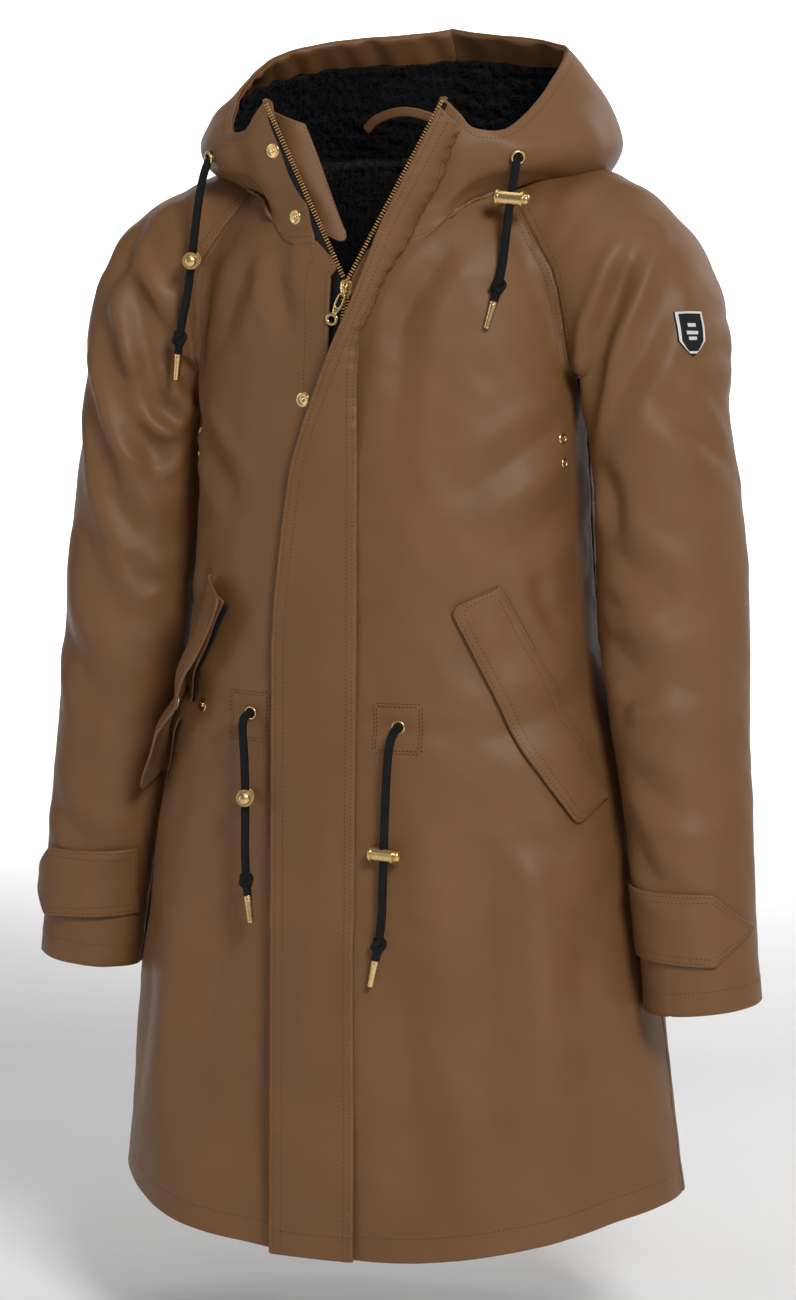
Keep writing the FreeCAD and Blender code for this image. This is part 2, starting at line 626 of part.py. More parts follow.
def make_slider():
    """Two plates joined by a post, the bail over the front plate, and the pull on its pin."""
    top = SLIDER_DOWN
    end = top + SLIDER_LONG
    half = SLIDER_WIDE / 2
    inside = CHAIN_GAP / 2 + CHAIN_WIDE + 0.5
    bars = [zip_bar(top, end, -half, half, 6.2, 7.6), zip_bar(top, top + 4.0, -0.4, 0.4, 2.8, 6.2)]
    for side in (-1, 1):
        bars.append(zip_bar(top, end, side * inside, side * half, 2.8, 3.8))
        bars.append(zip_bar(top, end, side * inside, side * half, 5.2, 6.2))
        bars.append(zip_bar(top + 4.5, top + 7.5, side * 2.2, side * 3.2, 1.4, -1.8))
    pin = zip_point(top + PIN_DOWN, 0, -1.0)
    bars.append(rod(pin - zip_left * 2.8, pin + zip_left * 2.8, PIN_R))
    slider = zip_bar(top, end, -half, half, 1.4, 2.8).fuse(bars)
    keep("zip_slider", slider.removeSplitter())

    hang = zip_along * math.cos(PULL_LEAN) - zip_left * math.sin(PULL_LEAN)
    wide = zip_left * math.cos(PULL_LEAN) + zip_along * math.sin(PULL_LEAN)
    plate_top = pin + zip_along * 4.5
    plate_at = plate_top + hang * (PULL_LONG / 2)
    ring_at = plate_top + hang * (PULL_LONG + 3.0)
    face = zip_front * (PULL_THICK / 2)
    eye = rod(pin - zip_left * 1.9, pin + zip_left * 1.9, PIN_R + 0.6)
    shank = frame_box(pin + zip_along * 3.0, zip_left, zip_along, (2.6, 6.0, PULL_THICK))
    plate = frame_box(plate_at, wide, hang, (PULL_WIDE, PULL_LONG, PULL_THICK))
    window = frame_box(plate_at, wide, hang, (PULL_WIDE - 3.0, PULL_LONG - 9.0, 3 * PULL_THICK))
    ring_hole = rod(ring_at - face * 3, ring_at + face * 3, RING_HOLE)
    pull = eye.fuse([shank, plate, rod(ring_at - face, ring_at + face, RING_R)])
    pull = cut_all(pull, window, ring_hole, rod(pin - zip_left * 5, pin + zip_left * 5, PIN_R + 0.06))
    keep("zip_pull", pull.removeSplitter())
    print("zip pin mm", pin, "zip along", zip_along, "zip left", zip_left)
    print("slider travel mm", zip_length - BOTTOM_STOP - end)


# ---- drawcords -------------------------------------------------------------------------
def cord_exit(name):
    """Start, direction out of the eyelet and the point on its outer face."""
    first, second = V(*CORDS[name][0]), V(*CORDS[name][1])
    out = second - first
    out.normalize()
    return first, out, first + out * 2.6


def cord_holes(radius):
    holes = []
    for name in CORDS:
        first, out, _ = cord_exit(name)
        holes.append(rod(first - out * 9, first + out * 9, radius))
    return holes


def vent_holes():
    holes = []
    for place in VENTS:
        centre = V(*place)
        hole = rod(centre - VENT_OUT * 9, centre + VENT_OUT * 4, 3.4)
        holes += [hole, mirrored(hole)]
    return holes


def cord_tube(points, radius, name):
    """Straight runs joined by arcs as large as the runs allow."""
    edges = []
    start = points[0]
    length = 0.0
    radii = []
    for i in range(1, len(points) - 1):
        before = points[i] - points[i - 1]
        after = points[i + 1] - points[i]
        half_turn = before.getAngle(after) / 2
        reach = 0.45 * min(before.Length, after.Length)
        bend = reach / math.tan(half_turn)
        radii.append(bend)
        before.normalize()
        after.normalize()
        enter = points[i] - before * reach
        leave = points[i] + after * reach
        inward = after - before
        inward.normalize()
        middle = points[i] + inward * (bend / math.cos(half_turn) - bend)
        edges.append(Part.LineSegment(start, enter).toShape())
        edges.append(Part.Arc(enter, middle, leave).toShape())
        length += (enter - start).Length + bend * 2 * half_turn
        start = leave
    edges.append(Part.LineSegment(start, points[-1]).toShape())
    length += (points[-1] - start).Length
    along = points[1] - points[0]
    ring = Part.Wire([Part.Circle(points[0], along, radius).toShape()])
    tube = Part.Wire(edges).makePipeShell([ring], True, False)
    expected = math.pi * radius ** 2 * length
    print(name, "length", round(length, 1), "radii", [round(r, 1) for r in radii],
          "volume ratio", round(tube.Volume / expected, 4))
    return tube


def make_cords():
    knots = []
    tips = []
    eyelets = []
    for name, route in CORDS.items():
        points = [V(*p) for p in route]
        keep(name, cord_tube(points, CORD_D / 2, name))
        last, before = points[-1], points[-2]
        down = last - before
        down.normalize()
        knots.append(knot(last - down * 13.0, down))
        tips.append(Part.makeCone(3.3, 2.5, TIP_LONG, last, down))
        _, out, face = cord_exit(name)
        barrel = disc(face, out, EYELET_R - 1.2, -3.4, 2.2, EYELET_HOLE)
        flange = disc(face, out, EYELET_R, 1.9, 2.6, EYELET_HOLE)
        eyelets.append(barrel.fuse(flange).removeSplitter())
        make_stop(name, points)
    keep("cord_knots", *knots)
    keep("cord_tips", *tips)
    keep("drawcord_eyelets", *eyelets)
    rings = []
    for place in VENTS:
        centre = V(*place)
        ring = disc(centre, VENT_OUT, 3.2, -2.4, 1.3, 2.2)
        ring = ring.fuse(disc(centre, VENT_OUT, 4.4, 0.9, 1.5, 2.2)).removeSplitter()
        rings += [ring, mirrored(ring)]
    keep("underarm_eyelets", *rings)


def knot(centre, along):
    """A round overhand knot, left open along the cord that it is tied in."""
    ball = Part.makeSphere(KNOT_R, centre)
    return ball.cut(rod(centre - along * 12, centre + along * 12, CORD_D / 2 + 0.4))


def make_stop(name, points):
    """Barrel with its spring, and the plunger that the cord passes through."""
    run, share, axis = STOPS[name]
    low, high = points[run], points[run + 1]
    along = high - low
    along.normalize()
    centre = low + (high - low) * share
    axis = V(*axis) - along * V(*axis).dot(along)
    axis.normalize()
    half = BARREL_LONG / 2
    barrel = rod(centre - axis * half, centre + axis * half, BARREL_R)
    for end in (-1, 1):
        flare = rod(centre + axis * end * half, centre + axis * end * (half - 1.8), BARREL_R + 1.0)
        barrel = barrel.fuse(flare)
    barrel = barrel.removeSplitter()
    seat = centre - axis * (half - 3.0)
    barrel = barrel.cut(rod(seat, centre + axis * (half + 1), BORE_R))
    hole = rod(centre - along * 20, centre + along * 20, STOP_HOLE)
    barrel = barrel.cut(hole)
    spring = disc(seat, axis, BORE_R - 0.4, 0.05, 0.55, 2.4)
    plunger = rod(seat + axis * (0.65 + PRESS), centre + axis * (half + PLUNGER_OUT), PLUNGER_R)
    pressed = centre + axis * PRESS
    between = frame_box(centre + axis * PRESS / 2, axis, along, (PRESS, 40.0, 2 * STOP_HOLE))
    slot = hole.fuse([rod(pressed - along * 20, pressed + along * 20, STOP_HOLE), between])
    plunger = plunger.cut(slot)
    stop_name = name.replace("cord", "cord_stop")
    keep(stop_name, barrel, spring, smallest=0.5)
    keep(stop_name.replace("stop", "plunger"), plunger, smallest=0.5)
    print(stop_name, "centre", centre, "cord dir", along, "barrel dir", axis)


# ---- trims -----------------------------------------------------------------------------
def make_trims():
    loop = [((x, y, z), (x, y, z + LOOP_WIDE)) for x, y, z in LOOP]
    keep("hanger_loop", ribbon(loop, 2.0))
    keep("neck_label", block(-28.0, 28.0, 76.0, 77.0, -44.0, -24.0))
    out = V(BADGE_OUT)
    out.normalize()
    right = V(0, 0, 1).cross(out)
    right.normalize()
    up = out.cross(right)
    corners = [BADGE_AT + right * a + up * b - out * 30 for a, b in SHIELD]
    badge = arm_solid(1.8).cut(arm_solid(0.5)).common(prism(corners, out * 60))
    keep("sleeve_badge", badge)


def main():
    os.makedirs("parts", exist_ok=True)
    make_shells()
    make_storm_flap()
    make_pockets()
    make_cuff_tabs()
    make_zip()
    make_cords()
    make_trims()
    for node, solids in sorted(PARTS.items()):
        shape = solids[0] if len(solids) == 1 else Part.makeCompound(solids)
        shape.exportStep("parts/%s.step" % node)
        valid = all(s.isValid() for s in solids)
        print(node, len(solids), "valid" if valid else "INVALID", round(shape.Volume))


main()
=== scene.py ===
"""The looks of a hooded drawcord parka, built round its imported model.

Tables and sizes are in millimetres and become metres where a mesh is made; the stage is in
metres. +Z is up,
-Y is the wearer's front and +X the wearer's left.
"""

import math

import bpy
import numpy as np
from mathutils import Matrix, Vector


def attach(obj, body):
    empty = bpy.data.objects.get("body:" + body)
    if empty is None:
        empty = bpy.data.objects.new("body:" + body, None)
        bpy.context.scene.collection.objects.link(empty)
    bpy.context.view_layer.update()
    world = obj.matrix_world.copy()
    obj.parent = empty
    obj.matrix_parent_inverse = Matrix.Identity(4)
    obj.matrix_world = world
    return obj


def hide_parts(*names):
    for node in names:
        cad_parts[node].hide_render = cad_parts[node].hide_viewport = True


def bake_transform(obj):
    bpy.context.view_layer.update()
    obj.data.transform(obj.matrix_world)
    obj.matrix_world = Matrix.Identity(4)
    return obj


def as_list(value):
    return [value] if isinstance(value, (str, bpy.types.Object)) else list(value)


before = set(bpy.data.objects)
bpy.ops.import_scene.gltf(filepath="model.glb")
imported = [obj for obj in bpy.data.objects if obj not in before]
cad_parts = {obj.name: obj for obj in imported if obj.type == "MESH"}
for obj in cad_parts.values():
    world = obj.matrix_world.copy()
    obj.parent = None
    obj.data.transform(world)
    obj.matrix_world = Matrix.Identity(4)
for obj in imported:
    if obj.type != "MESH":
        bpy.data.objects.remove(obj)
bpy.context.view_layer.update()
MM = 0.001
RANDOM = np.random.default_rng(11)
FORWARD = np.array((0.0, -1.0, 0.0))

# ---- shape of the coat, as in the design ---------------------------------------------
ROUNDNESS = 2.3                         # exponent of the body's superellipse outlines
BODY = np.array([                       # height, half width, front and back depth, centre y
    (-960, 254, 152, 152, 0), (-700, 223, 139.3, 133, 0), (-490, 191, 129.1, 113, 0),
    (-400, 174, 124.7, 104, 0), (-240, 168, 117, 108, 0), (-120, 160, 111, 97, 0),
    (-50, 118, 90, 82, 4), (-30, 104, 84, 76, 6)], float)
ARM = np.array([                        # centre, half width and half depth down the left arm
    (85, 10, -92, 58, 60), (145, 10, -98, 66, 68), (190, 10, -126, 72, 74), (215, 6, -175, 66, 72),
    (226, 2, -235, 58, 68), (234, 0, -300, 60, 64), (243, -5, -400, 61, 62), (251, -9, -480, 56, 60),
    (261, -13, -560, 51, 56), (277, -20, -706, 46, 50)], float)
FRONT_SEAM = np.array([(-228, 166), (-200, 165), (-178, 163.5), (-142, 161), (-119, 157), (-96, 144),
                       (-74, 130), (-56, 117), (-40, 108)], float)      # raglan seam: z, x
BACK_SEAM = np.array([(-228, 166), (-200, 165), (-170, 162), (-142, 157), (-119, 148), (-96, 132),
                      (-74, 112), (-50, 88), (-40, 78)], float)
SEAM_ENDS = -228.0                      # height where both raglan seams meet under the arm
SEAM_TURNS = -198.0                     # above this they run on the front and on the back
SIDE_SEAM_Y = 10.0
HEM_FRONT = -914.0
HEM_SIDE = -868.0
HEM_HALF = 262.0                        # half width of the coat at the hem
MERGE = 16.0                            # band over which the body's shape runs into the arm's
FABRIC = 2.6                            # thickness of the coated cloth
SEAM_ROWS = (2.4, 7.6)                  # stitches beside a raglan seam
HEM_ROW = 19.0                          # stitches above the hem
ZIP_TOP = np.array((0, -111.3, -121.0))
ZIP_END = np.array((-16, -150, -914.0))
ZIP_PEAK = np.array((75, -97, 19.0))
CHAIN_DEPTH = 4.5                       # middle of the teeth, under the cloth's outer face
FLAP_GAP = 3.2                          # space for the snaps under the storm flap
FLAP_THICK = 2.4                        # pocket flaps and cuff tabs
STORM_THICK = 2.3
FREE_RISE = 2.6                         # more space under the storm flap's free edge
PIPING_R = 1.35                         # radius of the piping along that edge

# storm flap: x, z of its free edge and of its seam, then seam and free points of the peeled part
FREE_EDGE = [(-51, -914), (-54, -700), (-57.5, -470), (-58, -400), (-50, -316), (-43, -270)]
FLAP_SEAM = [(21, -914), (18.5, -700), (15.5, -470), (14.6, -400), (13.4, -316), (12.9, -270)]
PEELED = [((13.0, -122.0, -238.5), (-32.0, -124.5, -238.5)), ((16.0, -122.5, -178.0), (-4.5, -133.5, -178.0)),
          ((28.0, -120.0, -138.0), (11.0, -134.0, -146.0)), ((46.0, -112.0, -104.0), (25.5, -132.5, -112.0)),
          ((64.0, -105.0, -72.0), (38.0, -130.0, -80.0)), ((82.0, -101.0, -36.0), (60.0, -125.0, -36.0)),
          ((93.0, -98.0, -6.0), (83.0, -117.0, 12.0))]
SNAPS = [(-71, -20), (-46, -70), (-39, -218)]          # x, z of the studs in view
LOW_SNAPS = [(-44, -330), (-46, -450), (-44, -570), (-43, -690), (-41, -810)]      # under the flap

POCKET_TOP = np.array((125, -93, -364.0))
POCKET_BOTTOM = np.array((194, -33, -536.0))
POCKET_OUT = np.array((0.71, -0.69, 0.13))          # roughly out of the cloth there
POCKET_EDGE = [(-2, 41), (125, 52), (199, 42)]      # free edge, along and across the sewn edge
POCKET_SEWN = 197.0                                 # length of the sewn edge
POCKET_SNAP = (141.2, -472.5)                       # x, z
TAB_SEAM = [(-664, 228), (-651, 227.6), (-638, 227), (-625, 226), (-608, 225)]     # z, x
TAB_LOW, TAB_MIDDLE, TAB_HIGH = -664.0, -638.0, -608.0
TAB_TIP = 319.0                                     # x of the point, a little rounded
TAB_SNAP = (297, -50, -638)
VENTS = [(160.5, -44.0, -248.0), (160.5, -46.0, -268.5)]    # eyelets under the left arm

GUARD = [(-30, -93, -84), (-4, -95, -96), (-78, -79, 12), (-50, -81, 2)]   # outer and inner, low then high
GUARD_WIDE, GUARD_LONG = 27.0, 108.0
GUARD_ROUND = 14.0                      # radius of its lower corner
LOOP = [(-58, 70, 0), (-46, 66, 9), (-20, 62, 15), (6, 66, 9), (20, 70, 0)]

CORD_D = 7.0
CORDS = {                               # route of each cord from its eyelet
    "hood_cord_left": [(125.6, -62.4, -15.4), (130.2, -70.4, -23.0), (131.4, -76.6, -34.0),
                       (129.2, -81.6, -54.0), (126.2, -86.5, -92.0), (124.6, -89.8, -117.0),
                       (119.6, -94.0, -139.0)],
    "hood_cord_right": [(-133.9, -58.4, -15.4), (-138.6, -66.2, -23.0), (-142.0, -71.6, -34.0),
                        (-146.4, -74.5, -58.0), (-151.6, -76.0, -104.0), (-156.8, -75.6, -140.0),
                        (-164.6, -73.0, -165.0), (-167.0, -72.0, -185.0)],
    "waist_cord_left": [(50.9, -122.6, -477.8), (51.6, -134.2, -478.6), (49.8, -140.8, -488.0),
                        (47.6, -141.6, -508.0), (46.2, -142.4, -546.0), (44.9, -144.2, -606.0),
                        (44.6, -145.6, -640.0), (39.6, -146.6, -665.0)],
    "waist_cord_right": [(-82.4, -116.6, -474.2), (-83.4, -128.4, -475.2), (-82.0, -135.2, -485.0),
                         (-79.4, -136.2, -506.0), (-77.8, -138.4, -548.0), (-77.6, -141.0, -598.0),
                         (-74.2, -142.6, -621.0)],
}

# where each cord stop sits: run of the route, share along it and barrel direction
STOPS = {
    "hood_cord_left": (3, 0.10, (1.0, 0.10, 0.0)),
    "hood_cord_right": (4, 0.10, (0.37, -0.93, 0.0)),
    "waist_cord_left": (4, 0.55, (0.86, -0.10, 0.50)),
    "waist_cord_right": (3, 0.82, (0.37, -0.93, 0.0)),
}


# ---- materials -------------------------------------------------------------------------
def node(tree, kind, **inputs):
    made = tree.nodes.new(kind)
    for name, value in inputs.items():
        made.inputs[name.replace("_", " ")].default_value = value
    return made


def base_material(name, colour, rough, metal=0.0, **sockets):
    made = bpy.data.materials.new(name)
    made.use_nodes = True
    shader = made.node_tree.nodes["Principled BSDF"]
    shader.inputs["Base Color"].default_value = (*colour, 1)
    shader.inputs["Roughness"].default_value = rough
    shader.inputs["Metallic"].default_value = metal
    for socket, value in sockets.items():
        shader.inputs[socket.replace("_", " ")].default_value = value
    return made, made.node_tree, shader


def vary_colour(tree, shader, place, scale, dark, light, detail=4.0):
    """The base colour wanders between two colours with a noise."""
    noise = node(tree, "ShaderNodeTexNoise", Scale=scale, Detail=detail)
    ramp = tree.nodes.new("ShaderNodeValToRGB")
    ramp.color_ramp.elements[0].position = 0.32
    ramp.color_ramp.elements[1].position = 0.68
    ramp.color_ramp.elements[0].color = (*dark, 1)
    ramp.color_ramp.elements[1].color = (*light, 1)
    tree.links.new(place, noise.inputs["Vector"])
    tree.links.new(noise.outputs["Fac"], ramp.inputs["Fac"])
    tree.links.new(ramp.outputs["Color"], shader.inputs["Base Color"])


def vary_roughness(tree, shader, place, scale, low, high):
    noise = node(tree, "ShaderNodeTexNoise", Scale=scale, Detail=3.0)
    span = node(tree, "ShaderNodeMapRange", To_Min=low, To_Max=high)
    tree.links.new(place, noise.inputs["Vector"])
    tree.links.new(noise.outputs["Fac"], span.inputs["Value"])
    tree.links.new(span.outputs["Result"], shader.inputs["Roughness"])


def bump(tree, shader, heights):
    """Bumps one after another: (height output, distance in metres, strength)."""
    before = None
    for height, distance, strength in heights:
        made = node(tree, "ShaderNodeBump", Distance=distance, Strength=strength)
        tree.links.new(height, made.inputs["Height"])
        if before:
            tree.links.new(before, made.inputs["Normal"])
        before = made.outputs["Normal"]
    tree.links.new(before, shader.inputs["Normal"])


def position(tree):
    return tree.nodes.new("ShaderNodeTexCoord").outputs["Object"]


def noise_height(tree, place, scale, detail=3.0, rough=0.5):
    noise = node(tree, "ShaderNodeTexNoise", Scale=scale, Detail=detail, Roughness=rough)
    tree.links.new(place, noise.inputs["Vector"])
    return noise.outputs["Fac"]


def wave_height(tree, place, scale, direction, distortion=0.5):
    wave = node(tree, "ShaderNodeTexWave", Scale=scale, Distortion=distortion, Detail=1.0)
    wave.bands_direction = direction
    tree.links.new(place, wave.inputs["Vector"])
    return wave.outputs["Fac"]


def coated_fabric(name, dark, light):
    """Polyurethane-coated twill: satin, with a fine grain over the weave."""
    made, tree, shader = base_material(name, light, 0.5, Coat_Weight=0.03, Coat_Roughness=0.4,
                                       Specular_IOR_Level=0.30)
    place = position(tree)
    vary_colour(tree, shader, place, 14.0, dark, light)
    vary_roughness(tree, shader, place, 38.0, 0.48, 0.60)
    bump(tree, shader, [(noise_height(tree, place, 60.0, 4.0), 0.0016, 0.20),
                        (wave_height(tree, place, 420.0, "DIAGONAL"), 0.0002, 0.16),
                        (noise_height(tree, place, 1900.0), 0.0002, 0.30)])
    return made


def plain_cloth(name, dark, light, rough, weave=700.0):
    made, tree, shader = base_material(name, light, rough, Specular_IOR_Level=0.22)
    place = position(tree)
    vary_colour(tree, shader, place, 60.0, dark, light)
    bump(tree, shader, [(wave_height(tree, place, weave, "X"), 0.0003, 0.4),
                        (wave_height(tree, place, weave, "Z"), 0.0003, 0.4)])
    return made


def fleece_cloth():
    made, tree, shader = base_material("black_fleece", (0.006, 0.006, 0.007), 0.95, Specular_IOR_Level=0.12,
                                       Sheen_Weight=0.03, Sheen_Roughness=0.6)
    place = position(tree)
    vary_colour(tree, shader, place, 160.0, (0.0012, 0.0012, 0.0013), (0.0060, 0.0060, 0.0066))
    bump(tree, shader, [(noise_height(tree, place, 260.0, 5.0, 0.7), 0.003, 0.9)])
    return made


def metal(name, colour, rough):
    made, tree, shader = base_material(name, colour, rough, 1.0)
    place = position(tree)
    dark = tuple(c * 0.82 for c in colour)
    vary_colour(tree, shader, place, 420.0, dark, colour)
    vary_roughness(tree, shader, place, 900.0, rough * 0.8, rough * 1.5)
    bump(tree, shader, [(noise_height(tree, place, 1500.0), 0.0001, 0.12)])
    return made


BROWN_DARK = (0.150, 0.068, 0.024)
BROWN = (0.168, 0.077, 0.0275)
FABRIC_MAT = coated_fabric("brown_coated_fabric", BROWN_DARK, BROWN)
THREAD_MAT = plain_cloth("brown_thread", (0.050, 0.022, 0.009), (0.070, 0.032, 0.013), 0.7, 2600.0)
FLEECE_MAT = fleece_cloth()
LINING_MAT = plain_cloth("black_lining", (0.008, 0.008, 0.009), (0.016, 0.016, 0.018), 0.6)
TAPE_MAT = plain_cloth("black_zip_tape", (0.006, 0.006, 0.007), (0.014, 0.014, 0.015), 0.75, 1500.0)
CORD_MAT = plain_cloth("black_cord", (0.003, 0.003, 0.003), (0.007, 0.007, 0.007), 0.7, 1800.0)
GOLD_MAT = metal("gold_brass", (0.80, 0.56, 0.25), 0.24)
TEETH_MAT = metal("zip_brass", (0.66, 0.40, 0.15), 0.30)
STEEL_MAT = metal("socket_steel", (0.42, 0.40, 0.37), 0.35)
BADGE_MAT = plain_cloth("badge_black", (0.008, 0.008, 0.009), (0.014, 0.014, 0.016), 0.8, 1300.0)
WHITE_MAT = plain_cloth("badge_white", (0.62, 0.62, 0.60), (0.75, 0.75, 0.73), 0.8, 1700.0)


# ---- meshes ----------------------------------------------------------------------------
class Shape:
    """Points in millimetres and faces of several materials, made into one mesh."""

    def __init__(self):
        self.points = []
        self.faces = []
        self.kinds = []
        self.count = 0

    def add(self, points, faces, kind=0):
        points = np.asarray(points, float).reshape(-1, 3)
        self.join(np.asarray(faces) + self.count, kind)
        self.points.append(points)
        self.count += len(points)

    def join(self, faces, kind=0):
        """More faces between points that are there already."""
        self.faces.append(faces)
        self.kinds.append(kind)

    def build(self, name, materials):
        points = np.concatenate(self.points) * MM
        sizes = np.concatenate([np.full(len(f), f.shape[1]) for f in self.faces])
        loops = np.concatenate([f.ravel() for f in self.faces])
        kinds = np.concatenate([np.full(len(f), k) for f, k in zip(self.faces, self.kinds)])
        mesh = bpy.data.meshes.new(name)
        mesh.vertices.add(len(points))
        mesh.vertices.foreach_set("co", points.astype(np.float32).ravel())
        mesh.loops.add(len(loops))
        mesh.loops.foreach_set("vertex_index", loops.astype(np.int32))
        mesh.polygons.add(len(sizes))
        mesh.polygons.foreach_set("loop_start", (np.cumsum(sizes) - sizes).astype(np.int32))
        mesh.polygons.foreach_set("material_index", kinds.astype(np.int32))
        mesh.polygons.foreach_set("use_smooth", np.ones(len(sizes), bool))
        for material in materials:
            mesh.materials.append(material)
        mesh.update(calc_edges=True)
        mesh.validate()
        made = bpy.data.objects.new(name, mesh)
        bpy.context.scene.collection.objects.link(made)
        return made


def unit(v):
    """Vectors along the last axis, brought to length 1."""
    return v / np.maximum(np.linalg.norm(v, axis=-1, keepdims=True), 1e-9)


def smoothstep(x, low, high):
    t = np.clip((x - low) / (high - low), 0, 1)
    return t * t * (3 - 2 * t)


def through(xs, ys, x, monotone=True):
    """A smooth curve through the rows ys at the increasing values xs."""
    xs = np.asarray(xs, float)
    ys = np.asarray(ys, float).reshape(len(xs), -1)
    x = np.asarray(x, float)
    step = np.diff(xs)[:, None]
    slope = np.diff(ys, axis=0) / step
    m = np.empty_like(ys)
    m[0] = slope[0]
    m[-1] = slope[-1]
    if monotone:
        same = slope[:-1] * slope[1:] > 0
        total = np.where(same, slope[:-1] + slope[1:], 1.0)
        m[1:-1] = np.where(same, 2 * slope[:-1] * slope[1:] / total, 0)
    else:
        m[1:-1] = (ys[2:] - ys[:-2]) / (xs[2:] - xs[:-2])[:, None]
    flat = x.ravel()
    i = np.clip(np.searchsorted(xs, flat) - 1, 0, len(xs) - 2)
    h = step[i]
    t = np.clip((flat - xs[i])[:, None] / h, 0, 1)
    made = ((1 + 2 * t) * (1 - t) ** 2 * ys[i] + t * (1 - t) ** 2 * h * m[i]
            + t * t * (3 - 2 * t) * ys[i + 1] - t * t * (1 - t) * h * m[i + 1])
    return made.reshape(x.shape + (ys.shape[1],))


def lengths(line):
    """Distance along a line of points at each of them."""
    return np.concatenate([[0], np.cumsum(np.linalg.norm(np.diff(line, axis=0), axis=1))])


def sample(values, s, where):
    """Rows of values, given at the lengths s, interpolated at other lengths."""
    return np.stack([np.interp(where, s, values[:, k]) for k in range(values.shape[1])], -1)


def evenly(line, count):
    """count points evenly along a line, with whatever else its rows hold."""
    s = lengths(line[:, :3])
    return sample(line, s, np.linspace(0, s[-1], count))


def spline(points, count):
    """count points evenly along a smooth curve through some points."""
    points = np.asarray(points, float)
    s = lengths(points[:, :3])
    return evenly(through(s, points, np.linspace(0, s[-1], 20 * len(points)), monotone=False), count)


def normals(grid):
    """Outward normals of a grid whose rows go up and whose columns go to the left seen from outside."""
    return unit(np.cross(np.gradient(grid, axis=1), np.gradient(grid, axis=0)))


def grid_faces(rows, cols):
    i = np.arange(rows * cols).reshape(rows, cols)
    return np.stack([i[:-1, :-1], i[:-1, 1:], i[1:, 1:], i[1:, :-1]], -1).reshape(-1, 4)


def border(rows, cols):
    """The indices round a grid, anticlockwise seen from its front."""
    i = np.arange(rows * cols).reshape(rows, cols)
    return np.concatenate([i[0, :-1], i[:-1, -1], i[-1, :0:-1], i[:0:-1, 0]])


def thick(shape, grid, depth):
    """A closed sheet with a rounded edge: a grid, and the same grid moved in by its thickness."""
    rows, cols = grid.shape[:2]
    inner = grid - normals(grid) * depth
    edge = np.zeros_like(grid)
    edge[0] += unit(grid[0] - grid[1])
    edge[-1] += unit(grid[-1] - grid[-2])
    edge[:, 0] += unit(grid[:, 0] - grid[:, 1])
    edge[:, -1] += unit(grid[:, -1] - grid[:, -2])
    loop = border(rows, cols)
    middle = ((grid + inner) / 2 + unit(edge) * depth * 0.42).reshape(-1, 3)[loop]
    size = rows * cols
    count = len(loop)
    after = np.roll(np.arange(count), -1)
    here = np.arange(count)
    rim_a = np.stack([size + loop[here], size + loop[after], 2 * size + after, 2 * size + here], 1)
    rim_b = np.stack([2 * size + here, 2 * size + after, loop[after], loop[here]], 1)
    faces = grid_faces(rows, cols)
    points = np.concatenate([grid.reshape(-1, 3), inner.reshape(-1, 3), middle])
    start = shape.count
    shape.add(points, faces)
    shape.join(start + size + faces[:, ::-1])
    shape.join(start + np.concatenate([rim_a, rim_b]))


def from_side(grid, side):
    """A grid turned so that its rows start at one of its sides."""
    return {"start": grid, "end": grid[:, ::-1], "low": grid.transpose(1, 0, 2),
            "high": grid[::-1].transpose(1, 0, 2)}[side]


def inset(grid, side, distance, values=None):
    """The line on a grid at a distance from one of its sides, or other values along that line."""
    values = grid if values is None else values
    return np.array([sample(value, lengths(row), distance)
                     for row, value in zip(from_side(grid, side), from_side(values, side))])


def edge_distance(grid, side):
    """How far each point of a grid is from its start or end column."""
    step = np.linalg.norm(np.diff(grid, axis=1), axis=2)
    s = np.concatenate([np.zeros((len(grid), 1)), np.cumsum(step, axis=1)], 1)
    return s if side == "start" else s[:, -1:] - s


def stitches(shape, line, out, kind=1, pitch=3.4, long=2.5, wide=0.8, high=0.36):
    """Short raised threads along a line; out gives the cloth's outward side at each of its points."""
    s = lengths(line)
    if s[-1] < 2 * pitch:
        return
    starts = np.arange(pitch * 0.5, s[-1] - long, pitch)
    a = sample(line, s, starts)
    b = sample(line, s, starts + long)
    middle = sample(line, s, starts + long / 2)
    up = unit(sample(out, s, starts + long / 2))
    side = unit(np.cross(b - a, up)) * wide / 2
    points = np.stack([a - up * 0.15, b - up * 0.15, middle - side, middle + side, middle + up * high,
                       middle - up * 0.4], 1)
    corner = np.array([(0, 2, 4), (2, 1, 4), (1, 3, 4), (3, 0, 4),
                       (2, 0, 5), (1, 2, 5), (3, 1, 5), (0, 3, 5)])
    faces = (np.arange(len(a))[:, None, None] * 6 + corner).reshape(-1, 3)
    shape.add(points, faces, kind)


def seam_stitches(shape, grid, side, distances):
    """A row of stitches at each of some distances from one side of a grid."""
    out = normals(grid)
    for distance in distances:
        stitches(shape, inset(grid, side, distance), inset(grid, side, distance, out))


def frame_about(axis):
    """Two directions across an axis, and the axis itself, all of length 1."""
    axis = unit(np.asarray(axis, float))
    side = unit(np.cross(axis, (0, 0, 1) if abs(axis[2]) < 0.9 else (0, 1, 0)))
    return side, np.cross(axis, side), axis


def ring_faces(rows, count):
    """Faces between closed rings of points, with the numbers of the points and of the ones after them."""
    i = np.arange(rows * count).reshape(rows, count)
    j = np.roll(i, -1, axis=1)
    return np.stack([i[:-1], j[:-1], j[1:], i[1:]], -1).reshape(-1, 4), i, j


